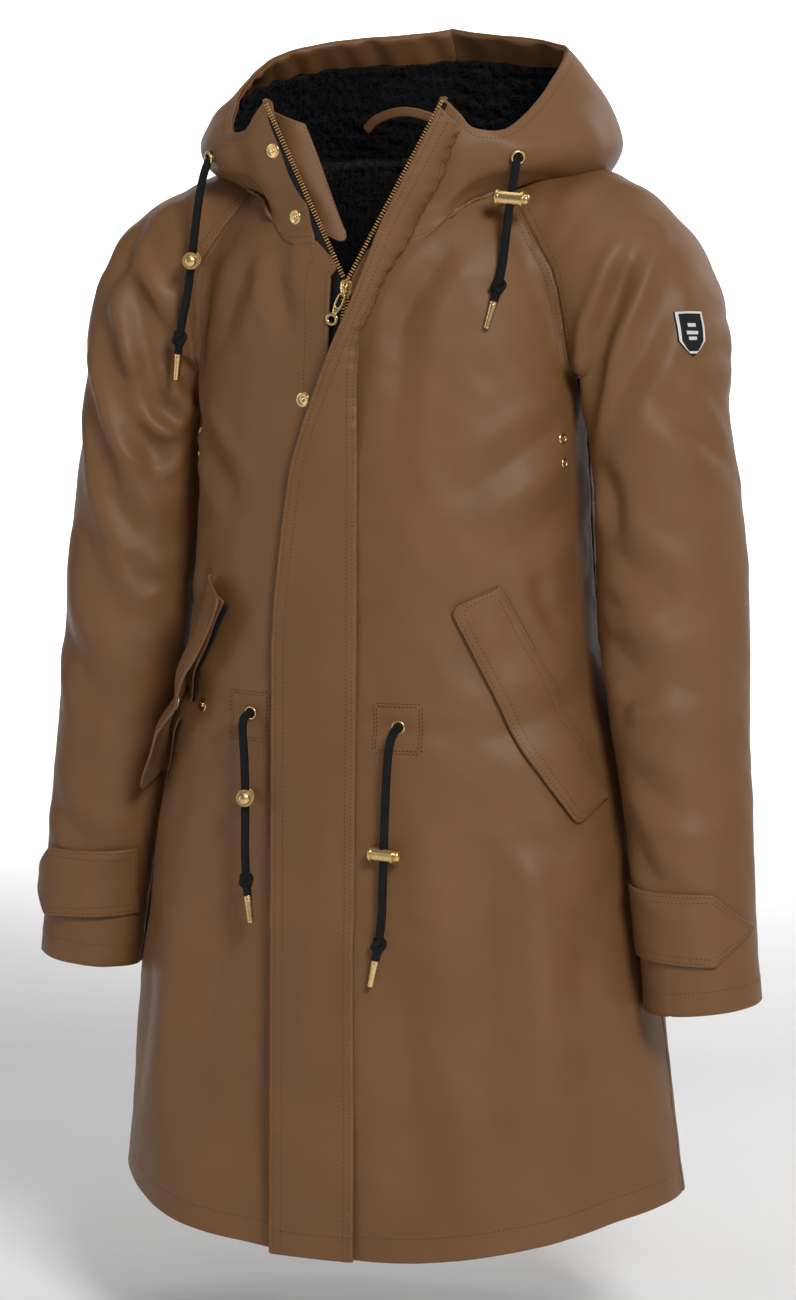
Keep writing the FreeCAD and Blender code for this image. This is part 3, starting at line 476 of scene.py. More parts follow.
def lathe(shape, profile, centre, axis, count=28, smooth=3):
    """Turns a profile of (radius, height) points about an axis, with smooth times as many rings."""
    side, other, axis = frame_about(axis)
    profile = spline(profile, smooth * len(profile))
    radius = np.maximum(profile[:, 0], 0.02)
    angle = np.arange(count) / count * 2 * math.pi
    ring = np.cos(angle)[:, None] * side + np.sin(angle)[:, None] * other
    points = np.asarray(centre, float) + radius[:, None, None] * ring + profile[:, 1][:, None, None] * axis
    shape.add(points, ring_faces(len(profile), count)[0])


def tube(shape, path, radius, count=12, relief=None):
    """A round tube with closed ends along a path; relief(angle, distance) adds to its radius."""
    path = np.asarray(path, float)
    along = unit(np.gradient(path, axis=0))
    side = np.empty_like(path)
    side[0] = frame_about(along[0])[0]
    for k in range(1, len(path)):
        side[k] = unit(side[k - 1] - along[k] * side[k - 1].dot(along[k]))
    other = np.cross(along, side)
    angle = np.arange(count) / count * 2 * math.pi
    r = np.full((len(path), count), float(radius))
    if relief:
        r = r + relief(angle[None, :], lengths(path)[:, None])
    points = (path[:, None] + r[..., None] * (np.cos(angle)[None, :, None] * side[:, None]
                                              + np.sin(angle)[None, :, None] * other[:, None]))
    faces, i, j = ring_faces(len(path), count)
    start = shape.count
    shape.add(np.concatenate([points.reshape(-1, 3), path[[0, -1]]]), faces)
    middle = len(path) * count              # the middles of both ends come after the rings
    shape.join(start + np.concatenate([np.stack([j[0], i[0], np.full(count, middle)], 1),
                                       np.stack([i[-1], j[-1], np.full(count, middle + 1)], 1)]))


def mirror(points):
    """Points of the left side, as on the right side."""
    return np.asarray(points, float) * (-1, 1, 1)


def mirror_grid(grid):
    """The same for a grid, whose normals stay outward."""
    return mirror(grid)[:, ::-1]


def facing(grid, out):
    """A grid with its columns turned round if its normals don't point along out."""
    middle = normals(grid)[grid.shape[0] // 2, grid.shape[1] // 2]
    return grid[:, ::-1] if middle @ np.asarray(out, float) < 0 else grid


# ---- the smooth coat: body and arms as one surface ----------------------------------------
def body_level(p):
    """About how far a point is outside the body's surface; negative inside."""
    z = p[..., 2]
    row = through(BODY[:, 0], BODY[:, 1:], z)
    half, front, back, centre = np.moveaxis(row, -1, 0)
    dy = p[..., 1] - centre
    depth = np.where(dy < 0, front, back)
    s = (np.abs(p[..., 0] / half) ** ROUNDNESS + np.abs(dy / depth) ** ROUNDNESS) ** (1 / ROUNDNESS)
    r = np.hypot(p[..., 0], dy)
    return r - r / np.maximum(s, 1e-6)


ARM_FINE = through(lengths(ARM[:, :3]), ARM, np.linspace(0, lengths(ARM[:, :3])[-1], 30), monotone=False)


def arm_level(p, rows=ARM_FINE):
    """The same for the left arm, as a chain of elliptical links."""
    best = np.full(p.shape[:-1], 1e9)
    for a, b in zip(rows[:-1], rows[1:]):
        along = b[:3] - a[:3]
        t = np.clip((p - a[:3]) @ along / along.dot(along), 0, 1)
        along = unit(along)
        side = np.array((-along[2], 0, along[0]))
        offset = p - (a[:3] + t[..., None] * (b[:3] - a[:3]))
        wide = a[3] + t * (b[3] - a[3])
        deep = a[4] + t * (b[4] - a[4])
        u, w, k = offset @ side, offset[..., 1], offset @ along
        s = np.sqrt((u / wide) ** 2 + (w / deep) ** 2 + (k / wide) ** 2)
        r = np.sqrt(u * u + w * w + k * k)
        best = np.minimum(best, r - r / np.maximum(s, 1e-6))
    return best


def soft_min(a, b, k):
    """The smaller of two values, rounded over a band k where they are close."""
    h = np.clip(0.5 + 0.5 * (b - a) / k, 0, 1)
    return b * (1 - h) + a * h - k * h * (1 - h)


def narrow(level, centre, direction, low, high, rounds):
    """Halves, again and again, the span of each ray in which level passes zero."""
    for _ in range(rounds):
        middle = (low + high) / 2
        outside = level(centre + direction * middle[..., None]) > 0
        high = np.where(outside, middle, high)
        low = np.where(outside, low, middle)
    return low, high


def first_exit(level, centre, direction, far, steps=36):
    """Distance along each ray to where it first leaves the solid that level is negative in."""
    shape = direction.shape[:-1]
    low = np.zeros(shape)
    high = np.full(shape, far)
    found = np.zeros(shape, bool)
    for i in range(1, steps + 1):
        t = far * i / steps
        outside = level(centre + direction * t) > 0
        fresh = outside & ~found
        high = np.where(fresh, t, high)
        low = np.where(fresh, far * (i - 1) / steps, low)
        found |= outside
    low, high = narrow(level, centre, direction, low, high, 14)
    return (low + high) / 2


def half_contours(heights):
    """Outline of the left half at each height, from front centre round the side to back centre."""
    turn = np.linspace(0, math.pi, 281)
    direction = np.stack([np.sin(turn), -np.cos(turn), np.zeros_like(turn)], 1)
    centre = np.stack([np.zeros_like(heights), np.full_like(heights, 6.0), heights], 1)[:, None]
    direction = np.broadcast_to(direction, (len(heights), len(turn), 3))
    merge = smoothstep(heights, SEAM_ENDS, SEAM_TURNS + 8)[:, None]
    upper = ARM_FINE[:14]

    def level(p):
        body = body_level(p)
        if merge.max() == 0:
            return body
        return soft_min(body, arm_level(p, upper) + (1 - merge) * 60, MERGE)

    return centre + direction * first_exit(level, centre, direction, 330.0, 44)[..., None]


LOW_HEIGHTS = np.linspace(-930, SEAM_ENDS - 2, 90)
HIGH_HEIGHTS = np.linspace(SEAM_ENDS, -40, 64)
HEIGHTS = np.concatenate([LOW_HEIGHTS, HIGH_HEIGHTS])
CONTOURS = np.concatenate([half_contours(LOW_HEIGHTS), half_contours(HIGH_HEIGHTS)])


def cut_line(line, start, end):
    """The part of a line between two lengths along it."""
    s = lengths(line)
    inside = (s > start) & (s < end)
    return np.concatenate([sample(line, s, [start]), line[inside], sample(line, s, [end])])


def reach(line, values, target):
    """Length along a line where values first pass target."""
    s = lengths(line)
    i = int(np.argmax(values >= target)) if (values >= target).any() else len(line) - 1
    i = max(i, 1)
    span = values[i] - values[i - 1]
    t = np.clip((target - values[i - 1]) / span, 0, 1) if abs(span) > 1e-9 else 1.0
    return s[i - 1] + t * (s[i] - s[i - 1])


def contour_piece(row, height, front, start_x):
    """The front or back stretch of one contour, from start_x to its seam."""
    line = row if front else row[::-1]
    seam = FRONT_SEAM if front else BACK_SEAM
    to_y = line[:, 1] if front else -line[:, 1]
    side = reach(line, to_y, SIDE_SEAM_Y if front else -SIDE_SEAM_Y)
    if height > SEAM_ENDS:
        seam_x = through(seam[:, 0], seam[:, 1], np.array([height]))[0, 0]
        end = reach(line, line[:, 0], seam_x)
        share = 1 - smoothstep(height, SEAM_ENDS, SEAM_TURNS)
        end = end + (max(side, end) - end) * share if share > 0 else end
    else:
        end = side
    return cut_line(line, reach(line, line[:, 0], start_x), end)


def fractions(count, long, edge=(0, 0.9, 1.8, 3.0, 4.6, 6.8, 9.5)):
    """Shares from 0 to 1, closer together at both ends of a stretch of that length."""
    near = np.array(edge) / long
    middle = np.linspace(near[-1], 1 - near[-1], count)
    return np.concatenate([near[:-1], middle, 1 - near[:-1][::-1]])


def zip_x(z):
    """x of the left row of teeth."""
    low = ZIP_TOP[0] + (ZIP_END[0] - ZIP_TOP[0]) * (z - ZIP_TOP[2]) / (ZIP_END[2] - ZIP_TOP[2])
    high = ZIP_PEAK[0] * (z - ZIP_TOP[2]) / (ZIP_PEAK[2] - ZIP_TOP[2])
    return low if z < ZIP_TOP[2] else high


def panel(front, side, count=58, rows=250):
    """A grid from the hem up, and from the zip or the centre back to the seam on the left."""
    u = fractions(count, 250)
    table = []
    for row, height in zip(CONTOURS, HEIGHTS):
        start = 0.0
        if front:
            middle = zip_x(height) if side > 0 or height > ZIP_TOP[2] else -zip_x(height)
            bare = 9.0 * smoothstep(height, -262, -225) if side < 0 and height < ZIP_TOP[2] + 6 else 0.0
            start = max(middle + (5.0 if height > ZIP_TOP[2] else 6.0) + bare, 0.0)
        line = contour_piece(row, height, front, start)
        s = lengths(line)
        points = sample(line, s, u * s[-1])
        if front:
            points[:, 0] += min(middle + 6.0, 0.0) * np.clip(1 - u * s[-1] / 30, 0, 1)
        table.append(points)
    table = np.array(table)
    hem_x = table[np.searchsorted(HEIGHTS, -890), :, 0]
    low = HEM_FRONT + (HEM_SIDE - HEM_FRONT) * (hem_x / HEM_HALF) ** 2
    if front:
        high = through([0, 0.3, 0.6, 1], [-80, -62, -48, -46], u)[:, 0]
    else:
        high = np.full(len(u), -44.0)
    v = fractions(rows, 830)
    grid = np.empty((len(v), len(u), 3))
    for j in range(len(u)):
        z = low[j] + v * (high[j] - low[j])
        for k in range(2):
            grid[:, j, k] = np.interp(z, HEIGHTS, table[:, j, k])
        grid[:, j, 2] = z
    return grid


# ---- folds -------------------------------------------------------------------------------
# crease lines (points on or near the cloth), depth before it is scaled, and half width
CREASE_LINES = [
    ([(231, -40, -78), (213, -55, -124), (195, -62, -170), (186, -58, -212), (182, -45, -250)], 8.6, 9),
    ([(248, -30, -110), (236, -52, -160), (218, -64, -205), (205, -62, -240)], 3.5, 12),
    ([(285, -20, -262), (262, -50, -232), (235, -64, -205)], 2.8, 12),
    ([(196, -60, -330), (228, -62, -350), (268, -50, -382)], 3.0, 15),
    ([(202, -58, -405), (236, -66, -432), (280, -46, -452)], 3.2, 15),
    ([(215, -60, -505), (250, -66, -530), (292, -40, -548)], 2.4, 13),
    ([(240, 60, -120), (215, 75, -175), (190, 60, -222)], 6.5, 13),
    ([(200, 60, -330), (235, 62, -352), (275, 45, -375)], 3.2, 15),
    ([(210, 55, -440), (245, 55, -460), (285, 35, -480)], 3.0, 15),
    ([(163, -50, -238), (135, -84, -262), (96, -106, -288)], 3.2, 14),
    ([(166, -30, -290), (150, -66, -318), (118, -94, -338)], 2.4, 16),
    ([(186, -20, -452), (160, -76, -468), (118, -104, -492)], 3.0, 18),
    ([(22, -127, -472), (58, -124, -477), (100, -112, -484)], 1.6, 8),
    ([(112, -95, -560), (118, -102, -660), (132, -112, -800)], 4.0, 26),
    ([(60, -130, -620), (66, -136, -740), (76, -142, -890)], 3.4, 24),
    ([(-215, -45, -118), (-206, -58, -165), (-190, -62, -212), (-176, -52, -252)], 8.5, 10),
    ([(-238, -42, -150), (-228, -58, -200), (-206, -62, -250), (-190, -58, -292)], 6.0, 12),
    ([(-255, -20, -196), (-246, -48, -245), (-226, -62, -300)], 3.5, 13),
    ([(-262, -36, -320), (-246, -58, -372), (-218, -60, -420)], 3.4, 17),
    ([(-290, -30, -400), (-264, -60, -452), (-232, -58, -500)], 3.4, 17),
    ([(-296, -40, -560), (-270, -62, -590), (-240, -58, -610)], 2.2, 12),
    ([(-240, 60, -120), (-215, 75, -175), (-190, 60, -222)], 6.5, 13),
    ([(-200, 60, -330), (-235, 62, -352), (-275, 45, -375)], 3.2, 15),
    ([(-162, -52, -240), (-138, -82, -270), (-104, -104, -300)], 3.4, 14),
    ([(-186, -20, -440), (-160, -74, -462), (-120, -102, -480)], 3.0, 18),
    ([(-60, -124, -474), (-84, -120, -477), (-128, -100, -488)], 1.8, 9),
    ([(-100, -118, -560), (-112, -124, -680), (-126, -130, -830)], 4.2, 26),
    ([(-52, -131, -560), (-60, -138, -700), (-70, -146, -880)], 3.0, 22),
    ([(-180, -60, -620), (-192, -66, -720), (-206, -70, -840)], 4.0, 26),
    ([(180, -64, -620), (190, -70, -720), (202, -76, -840)], 3.6, 26),
    ([(120, 88, -520), (130, 96, -660), (146, 104, -860)], 4.5, 28),
    ([(40, 110, -480), (44, 122, -640), (50, 136, -880)], 3.6, 26),
    ([(-70, 106, -480), (-78, 118, -650), (-88, 132, -880)], 4.4, 28),
    ([(-150, 70, -520), (-164, 78, -680), (-182, 84, -850)], 3.6, 26),
    ([(120, 80, -250), (60, 96, -300), (-20, 98, -320)], 2.2, 22),
    ([(-130, 76, -240), (-80, 94, -285), (-20, 98, -300)], 2.2, 20),
    ([(90, 98, -420), (0, 105, -440), (-90, 98, -425)], 2.0, 20),
    ([(-92, -88, -96), (-112, -86, -132), (-124, -84, -176)], 2.0, 14),
    ([(60, -104, -150), (52, -112, -200), (44, -118, -262)], 1.8, 12),
    ([(84, -92, -92), (66, -102, -118), (52, -110, -150), (46, -114, -190)], 3.2, 12),
    ([(-70, -94, -98), (-64, -104, -128), (-48, -112, -168)], 2.8, 12),
    ([(-210, -58, -134), (-194, -66, -156), (-180, -66, -182), (-171, -60, -212), (-168, -50, -242)], 7.0, 9),
    ([(-214, -62, -196), (-204, -66, -214), (-186, -66, -232), (-169, -52, -246)], 6.0, 9),
    ([(-222, -60, -240), (-204, -64, -256), (-186, -62, -266), (-170, -50, -268)], 4.6, 9),
    ([(-212, -42, -70), (-222, -50, -105), (-238, -44, -152)], 3.0, 10),
    ([(-240, -56, -262), (-232, -60, -300), (-214, -62, -330), (-196, -60, -344)], 3.6, 12),
    ([(-216, -64, -352), (-204, -64, -372), (-190, -58, -388)], 3.0, 10),
    ([(192, -62, -268), (206, -66, -300), (214, -66, -330)], 3.6, 11),
    ([(198, -62, -372), (222, -66, -384), (252, -60, -376)], 2.2, 9),
    ([(206, -62, -470), (226, -66, -452), (250, -62, -446)], 2.6, 9),
    ([(212, -60, -560), (240, -64, -590), (272, -54, -600)], 2.0, 12),
    ([(150, -72, -352), (160, -66, -380), (176, -56, -392)], 2.4, 11),
    ([(140, -88, -560), (160, -84, -576), (184, -70, -582)], 2.2, 14),
    ([(-150, -84, -348), (-158, -76, -380), (-172, -60, -398)], 2.4, 11),
    ([(96, -104, -392), (104, -104, -430), (118, -100, -452)], 1.8, 12),
]
# broad waves that run mostly up and down, and short ripples in any direction
WAVES = unit(RANDOM.normal(size=(26, 3)) * (1, 1, 0.32)) * (2 * math.pi / RANDOM.uniform(95, 240, (26, 1)))
WAVE_SHIFT = RANDOM.uniform(0, 2 * math.pi, 26)
RIPPLES = unit(RANDOM.normal(size=(18, 3))) * (2 * math.pi / RANDOM.uniform(22, 48, (18, 1)))
RIPPLE_SHIFT = RANDOM.uniform(0, 2 * math.pi, 18)
FLUTES = [(5, 0.4, 1.0), (8, 2.1, 0.8), (11, 4.0, 0.5)]       # folds round the skirt, turn, share
WAVE_HIGH, RIPPLE_HIGH, FLUTE_HIGH = 0.52, 0.10, 2.6


def coat_level(p):
    """About how far a point is outside the whole coat."""
    return soft_min(body_level(p), arm_level(np.abs(p) * (1, 0, 0) + p * (0, 1, 1)), MERGE)


def uphill(level, p, step=0.5):
    """Direction in which level grows at each point."""
    return unit(np.stack([level(p + e) - level(p - e) for e in np.eye(3) * step], -1))


def onto(level, p, rounds=5):
    """Moves points onto the surface where level is zero."""
    p = np.array(p, float)
    for _ in range(rounds):
        p = p - uphill(level, p) * np.clip(level(p), -12, 12)[..., None]
    return p


DEPTH_SCALE = 1.9
DEEPEST = 11.5
CREASES = [(spline(onto(coat_level, line), 9), depth * DEPTH_SCALE, wide)
           for line, depth, wide in CREASE_LINES]


def crease_height(p):
    """A groove along each crease with a low ridge beside it, both fading at the crease's ends."""
    total = np.zeros(p.shape[:-1])
    wobble = np.stack([np.sin(p @ WAVES[k] * 1.6 + WAVE_SHIFT[k]) for k in range(3)], -1) * 3.0
    q = p + wobble
    for line, depth, wide in CREASES:
        low, high = line.min(0) - 3.2 * wide, line.max(0) + 3.2 * wide
        near = ((q > low) & (q < high)).all(-1)
        if not near.any():
            continue
        r = q[near]
        best = np.full(len(r), 1e9)
        share = np.zeros(len(r))
        for i, (a, b) in enumerate(zip(line[:-1], line[1:])):
            ab = b - a
            t = np.clip((r - a) @ ab / ab.dot(ab), 0, 1)
            d = np.linalg.norm(r - a - t[:, None] * ab, axis=1)
            closer = d < best
            best = np.where(closer, d, best)
            share = np.where(closer, (i + t) / (len(line) - 1), share)
        taper = np.sin(math.pi * np.clip(share, 0.02, 0.98)) ** 0.6
        x = best / wide
        ridge = 0.40 * np.exp(-((x - 1.7) / 0.8) ** 2)
        total[near] += depth * taper * (ridge - np.exp(-x ** 1.35))
    return np.where(total < 0, DEEPEST * np.tanh(total / DEEPEST), total)


def fold_height(p):
    """Height of the cloth over its smooth shape."""
    total = crease_height(p)
    for wave, shift in zip(WAVES, WAVE_SHIFT):
        total += WAVE_HIGH * np.sin(p @ wave + shift)
    for wave, shift in zip(RIPPLES, RIPPLE_SHIFT):
        total += RIPPLE_HIGH * np.sin(p @ wave + shift)
    skirt = 1 - smoothstep(p[..., 2], -930, -480)
    turn = np.arctan2(p[..., 0], -p[..., 1])
    on_skirt = np.abs(p[..., 0]) < HEM_HALF
    for count, shift, share in FLUTES:
        total += FLUTE_HIGH * share * skirt * np.sin(count * turn + shift) * on_skirt
    return total


def drape(grid, seams=(), lift=0.0, pucker=0.45):
    """A smooth grid with its folds, and a groove and small puckers along its sewn sides."""
    height = fold_height(grid) + lift
    for side in seams:
        if side in ("start", "end"):
            d = edge_distance(grid, side)
        else:
            d = edge_distance(grid.transpose(1, 0, 2), "start" if side == "low" else "end").T
        ripple = np.sin(grid @ RIPPLES[0] * 2.6) + np.sin(grid @ RIPPLES[1] * 2.9 + 1)
        height = height - 1.5 * np.exp(-(d / 1.8) ** 2) + pucker * 0.5 * ripple * np.exp(-(d / 9) ** 2)
    return grid + normals(grid) * height[..., None]


# ---- body, sleeves and hood -----------------------------------------------------------------
def named_piece(shape, name, materials, replaced, body=None):
    made = shape.build(name, materials)
    if body:
        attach(made, body)
    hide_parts(*replaced)
    return made


def seam_line(front, count):
    """The raglan seam from the neck to under the arm."""
    ends = [contour_piece(row, height, front, 0.0)[-1]
            for row, height in zip(CONTOURS[len(LOW_HEIGHTS):], HIGH_HEIGHTS)]
    return spline(np.array(ends)[::-1], count)


UPPER_ROWS = 84                         # rows of a sleeve above the under-arm point


def sleeve_grid(upper=UPPER_ROWS, lower=190, columns=96):
    """The left sleeve from its cuff up to the neck, and from its front seam round to its back seam."""
    front_line = seam_line(True, upper)
    back_line = seam_line(False, upper)
    arc = lengths(ARM[:, :3])
    start, meet = 22.0, 214.0
    s = np.concatenate([np.linspace(start, meet, upper), np.linspace(meet, arc[-1], lower + 1)[1:]])
    row = through(arc, ARM, s, monotone=False)
    centre = row[:, :3]
    along = unit(np.gradient(centre, axis=0))
    outward = np.stack([-along[:, 2], np.zeros(len(s)), along[:, 0]], 1)
    back = np.array((0.0, 1.0, 0.0))
    fade = np.concatenate([np.ones(upper), 1 - smoothstep(np.arange(lower), 0, 26)])
    ends = []
    for line, sign in ((front_line, -1), (back_line, 1)):
        last = line[-1]
        target = np.concatenate([line, np.repeat(last[None], lower, 0)])
        offset = target - centre
        turn = np.arctan2(offset[:, 1], (offset * outward).sum(1))
        turn = np.where(turn * sign < 0, turn + sign * 2 * math.pi, turn)
        turn[upper:] = sign * math.pi + (turn[upper - 1] - sign * math.pi) * fade[upper:]
        flat = np.hypot(offset[:, 1], (offset * outward).sum(1))
        tilt = (offset * along).sum(1) / np.maximum(flat, 1)
        tilt[upper:] = tilt[upper - 1] * fade[upper:]
        ends.append((target, turn, tilt))
    u = fractions(columns, 330)
    (front_at, turn_a, tilt_a), (back_at, turn_b, tilt_b) = ends
    turn = turn_a[:, None] + (turn_b - turn_a)[:, None] * u
    tilt = tilt_a[:, None] * (1 - u) ** 3 + tilt_b[:, None] * u ** 3
    direction = unit(np.cos(turn)[..., None] * outward[:, None] + np.sin(turn)[..., None] * back
                     + tilt[..., None] * along[:, None])
    share = np.concatenate([np.linspace(0, 1, upper), np.ones(lower)])[:, None]
    apart = smoothstep(share, 0.70, 0.98) * 70
    high = slice(0, upper)
    grid = np.empty(direction.shape)
    upper_arm = ARM_FINE[:15]

    def level(p):
        return soft_min(arm_level(p, upper_arm), body_level(p) + apart[high], MERGE)

    grid[high] = centre[high, None] + direction[high] * first_exit(level, centre[high, None],
                                                                   direction[high], 150.0, 30)[..., None]
    low = slice(upper, None)
    spread_out = np.cos(turn[low])[..., None] * (outward[low, None] * row[low, 3][:, None, None])
    grid[low] = (centre[low, None] + spread_out
                 + np.sin(turn[low])[..., None] * back * row[low, 4][:, None, None]
                 + tilt[low][..., None] * along[low, None] * row[low, 3][:, None, None])
    for target, weight in ((front_at, 1 - smoothstep(u, 0, 0.2)), (back_at, smoothstep(u, 0.8, 1))):
        column = 0 if weight[0] > 0.5 else -1
        gap = target - grid[:, column]
        grid += gap[:, None] * weight[None, :, None] * fade[:, None, None]
    clear = np.clip(2.5 - body_level(grid[low]), 0, 16) * smoothstep(np.arange(lower), 0, 30)[:, None]
    grid[low, :, 0] += clear
    return grid[::-1]


def make_panels():
    """Front and back panels, and the fleece body lining that follows them; gives each panel's cloth grid."""
    lining = Shape()
    grids = {
        "left_front_panel": panel(True, 1),
        "right_front_panel": mirror_grid(panel(True, -1)),
    }
    half = panel(False, 1)
    back = np.concatenate([half[:, ::-1], mirror(half)[:, 1:]], 1)
    grids["back_panel"] = back
    sewn_sides = {"left_front_panel": ("end",), "right_front_panel": ("start",),
                  "back_panel": ("start", "end")}
    for name, grid in grids.items():
        sewn = sewn_sides[name]
        cloth = drape(grid, sewn)
        shape = Shape()
        thick(shape, cloth, FABRIC)
        for side in sewn:
            seam_stitches(shape, cloth, side, SEAM_ROWS)
        seam_stitches(shape, cloth, "low", (HEM_ROW,))
        if name == "right_front_panel":
            seam_stitches(shape, cloth, "end", (3.0, 22.0))
        named_piece(shape, name + "_cloth", [FABRIC_MAT, THREAD_MAT], [name], "root")
        inner = cloth - normals(grid) * (FABRIC + 2.4)
        thick(lining, inner[8::3, ::3], 2.0)
        yield name, cloth
    named_piece(lining, "fleece_body_lining", [FLEECE_MAT], ["body_lining"], "root")


def make_sleeve(name, grid):
    """A sleeve with its shoulder as one cloth, and the lining inside it."""
    cloth = drape(grid, ("start", "end"))
    shape = Shape()
    thick(shape, cloth, FABRIC)
    upper = cloth[-UPPER_ROWS:]
    seam_stitches(shape, upper, "start", SEAM_ROWS)
    seam_stitches(shape, upper, "end", SEAM_ROWS)
    seam_stitches(shape, cloth, "low", (18.0,))
    made = named_piece(shape, name + "_cloth", [FABRIC_MAT, THREAD_MAT],
                       [name, name.replace("sleeve", "shoulder")])
    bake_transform(made)
    inner = cloth - normals(grid) * (FABRIC + 3.4)
    lining = Shape()
    thick(lining, inner[5::3, ::3], 0.9)
    made = named_piece(lining, name + "_lining_cloth", [LINING_MAT],
                       [name.replace("sleeve", "sleeve_lining")])
    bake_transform(made)
    return cloth


# rings of the hood from its neck seam up to its rim, each from the left front edge round to the back
HOOD_LINES = [
    [(31, -105, -84), (60, -98, -82), (88, -74, -52), (108, -40, -46),
     (118, 8, -54), (88, 62, -52), (0, 82, -52)],
    [(38, -104, -62), (72, -92, -62), (100, -78, -42), (130, -60, -36),
     (162, 5, -42), (132, 92, -40), (0, 128, -40)],
    [(50, -102, -38), (80, -92, -44), (104, -82, -31), (138, -64, -22),
     (177, -4, -18), (150, 108, -12), (0, 158, -12)],
    [(65, -100, -8), (88, -94, -20), (106, -84, -16), (132, -66, -11),
     (163, -8, 12), (140, 92, 32), (0, 150, 40)],
    [(76, -98, 21), (88, -94, 10), (101, -86, -3), (122, -65, -1),
     (136, -10, 34), (121, 62, 68), (0, 125, 86)],
]
HOOD_TURNS = [0, 0.07, 0.15, 0.24, 0.36, 0.56, 1.0]
FACING = 28.0                           # width of the band inside the rim
BAND_THICK = 1.2


def hood_grid(columns=250, rows=56):
    """The hood from its neck seam to its rim, and from the left front edge round the back to the right."""
    near = np.linspace(0, 1, columns // 2)
    rings = np.array([through(HOOD_TURNS, line, near, monotone=False) for line in HOOD_LINES])
    v = fractions(rows, 150)
    half = np.empty((len(v), len(near), 3))
    knots = np.array([0, 0.20, 0.42, 0.74, 1.0])
    for j in range(len(near)):
        half[:, j] = through(knots, rings[:, j], v, monotone=False)
    pressed = (1 - smoothstep(v, 0.0, 0.17))[:, None]
    half[..., 2] -= 9.0 * pressed
    target = onto(lambda p: coat_level(p) - 2.2, half, 6)
    half += (target - half) * pressed[..., None]
    return np.concatenate([half, mirror(half)[:, -2::-1]], 1)


def blend_hood(made):
    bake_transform(made)


def make_hood():
    """The hood's outer cloth with its seams, and the facing band inside its rim."""
    grid = hood_grid()
    cloth = drape(grid, ("low",), pucker=0.6)
    shape = Shape()
    thick(shape, cloth, FABRIC)
    seam_stitches(shape, cloth, "high", (7.0,))
    seam_stitches(shape, cloth, "low", (6.0,))
    rise = cloth[:, len(cloth[0]) // 2 - 1:len(cloth[0]) // 2 + 2]
    for shift in (-3.0, 3.0):
        line = rise[:, 1] + (shift, 0, 0)
        stitches(shape, line + normals(rise)[:, 1] * 0.2, normals(rise)[:, 1])
    blend_hood(named_piece(shape, "hood_cloth", [FABRIC_MAT, THREAD_MAT], ["hood_sides", "hood_crown"]))

    out = normals(cloth)
    s = np.array([inset(cloth - out * (FABRIC + 0.2), "high", d) for d in np.linspace(0, FACING, 14)])
    ripple = np.sin(s @ RIPPLES[2] * 1.7) + np.sin(s @ RIPPLES[3] * 1.3)
    lean = inset(cloth, "high", 3.0, out)
    inside = s[::-1] - lean * (1.6 + 1.0 * ripple[::-1, :, None])
    inside[-1] = s[0] - lean * 0.2
    band = Shape()
    thick(band, inside, BAND_THICK)
    seen = (inside - normals(inside) * BAND_THICK)[:, ::-1]
    seam_stitches(band, seen, "high", (3.0, FACING - 3.0))
    blend_hood(named_piece(band, "hood_facing_cloth", [FABRIC_MAT, THREAD_MAT],
                           ["hood_facing_front", "hood_facing_back"]))
    return cloth


FLEECE_DEPTH = 7.0                      # pile's surface, inside the hood's outer face
FLEECE_REACH = 132.0                    # from the hood's rim to the neck
NECK_ROWS, NECK_STEP = 25, 5.0          # rows of fleece below the neck, and the height of one
PILE_HIGH = 2.4
TUFTS = 22000
TUFT_FACES = [(0, 1, 4), (0, 4, 3), (1, 2, 5), (1, 5, 4), (2, 0, 3), (2, 3, 5), (3, 4, 6), (4, 5, 6),
              (5, 3, 6)]


def curly(points, out, height):
    """A deep pile: rows of small curls that stand up from a surface."""
    bumps = np.zeros(points.shape[:-1])
    rng = np.random.default_rng(3)
    for scale, share in ((13.0, 0.45), (7.0, 0.35), (4.0, 0.25)):
        for _ in range(7):
            wave = unit(rng.normal(size=3)) * 2 * math.pi / scale
            bumps += share * np.sin(points @ wave + rng.uniform(0, 6.3)) / 2.2
    return points + out * (height * bumps)[..., None]


